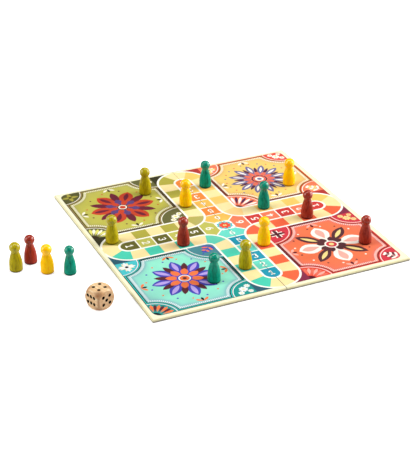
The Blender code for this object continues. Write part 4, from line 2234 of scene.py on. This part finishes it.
@dataclass
class Studio:
    """White table top, soft lights and the camera, in metres."""

    eye: Triple = (-0.4810, -1.0088, 0.6074)
    target: Triple = (-0.01738, -0.00137, 0.003)
    focal_length: float = 106.8
    sensor: float = 36.0
    white: Tone = (1.0, 1.0, 1.0, 1.0)
    sky: float = 0.15
    lights: tuple[Softbox, ...] = (
        Softbox("left_softbox", (-2.3, 0.6, 1.1), (1.8, 1.8), 46.0),
        Softbox("right_softbox", (2.2, -0.7, 1.1), (2.2, 2.2), 88.0),
        Softbox("top_strip", (0.0, 0.3, 2.5), (3.0, 0.5), 41.0),
        Softbox("right_spark", (2.24, 0.03, 0.87), (0.3, 0.3), 17.0),
    )
    floor_half: float = 4.0
    floor_drop: float = 0.0001
    floor_white: float = 0.97
    floor_bounce: float = 0.62
    floor_glow: float = 0.22
    floor_shine: float = 0.42
    floor_roughness: float = 0.7
    floor_gloss: float = 0.2

    def build(self) -> None:
        """Set up the table top, the lights, the surroundings and the camera."""
        self.build_floor()
        for light in self.lights:
            light.hang()
        world = bpy.data.worlds.new("white_room")
        world.use_nodes = True
        nodes = Nodes(world.node_tree)
        sky = nodes.add("ShaderNodeBackground", {"Color": self.white, "Strength": self.sky})
        nodes.add("ShaderNodeOutputWorld", {"Surface": sky.outputs[0]})
        bpy.context.scene.world = world
        bpy.context.scene.view_settings.view_transform = "Standard"
        self.add_camera()

    def build_floor(self) -> None:
        """Lay the table top."""
        half = self.floor_half
        mesh = bpy.data.meshes.new("table_top")
        corners = [Vector((p.x, p.y, -self.floor_drop)) for p in block(-half, -half, half, half)]
        mesh.from_pydata(corners, [], [(0, 1, 2, 3)])
        material = bpy.data.materials.new("white_table")
        material.use_nodes = True
        nodes = Nodes(material.node_tree)
        seen = nodes.add("ShaderNodeLightPath").outputs["Is Camera Ray"]
        values = {
            "Base Color": nodes.ranged(seen, (0.0, 1.0), self.floor_white, self.floor_bounce),
            "Roughness": self.floor_roughness,
            "Specular IOR Level": self.floor_gloss,
            "Emission Color": self.white,
            "Emission Strength": nodes.ranged(seen, (0.0, 1.0), self.floor_shine, self.floor_glow),
        }
        shader = nodes.add("ShaderNodeBsdfPrincipled", values)
        nodes.add("ShaderNodeOutputMaterial", {"Surface": shader.outputs[0]})
        mesh.materials.append(material)
        new_object("table_top", mesh)

    def add_camera(self) -> None:
        """Set the camera at the photograph's viewing angle."""
        lens = bpy.data.cameras.new("camera")
        lens.sensor_width = self.sensor
        lens.lens = self.focal_length
        camera = new_object("camera", lens)
        aim(camera, self.eye, self.target)
        bpy.context.scene.camera = camera


def main() -> None:
    """Build every piece in order, then the studio."""
    logging.basicConfig(level=logging.INFO, format="%(name)s: %(message)s")
    painting = paint_board()
    LOG.info("print: %d shapes", len(painting.patches))
    ticks = tick_tree()
    for side, name in ((-1, "left"), (1, "right")):
        PrintedHalf(side, name, painting, ticks).dress()
    FoldTape().dress()
    lathe = turning_tree()
    for colour in PAINTS:
        for number in range(1, PAWNS_EACH + 1):
            slim = SLIM_PAWNS.get((colour, number), 1.0)
            kind = SlenderPawn if colour in SLENDER_COLOURS else Pawn
            kind(colour, number, lathe, slim).dress()
    Die().dress()
    Studio().build()
    LOG.info("view transform: %s", bpy.context.scene.view_settings.view_transform)


if __name__ == "__main__":
    main()
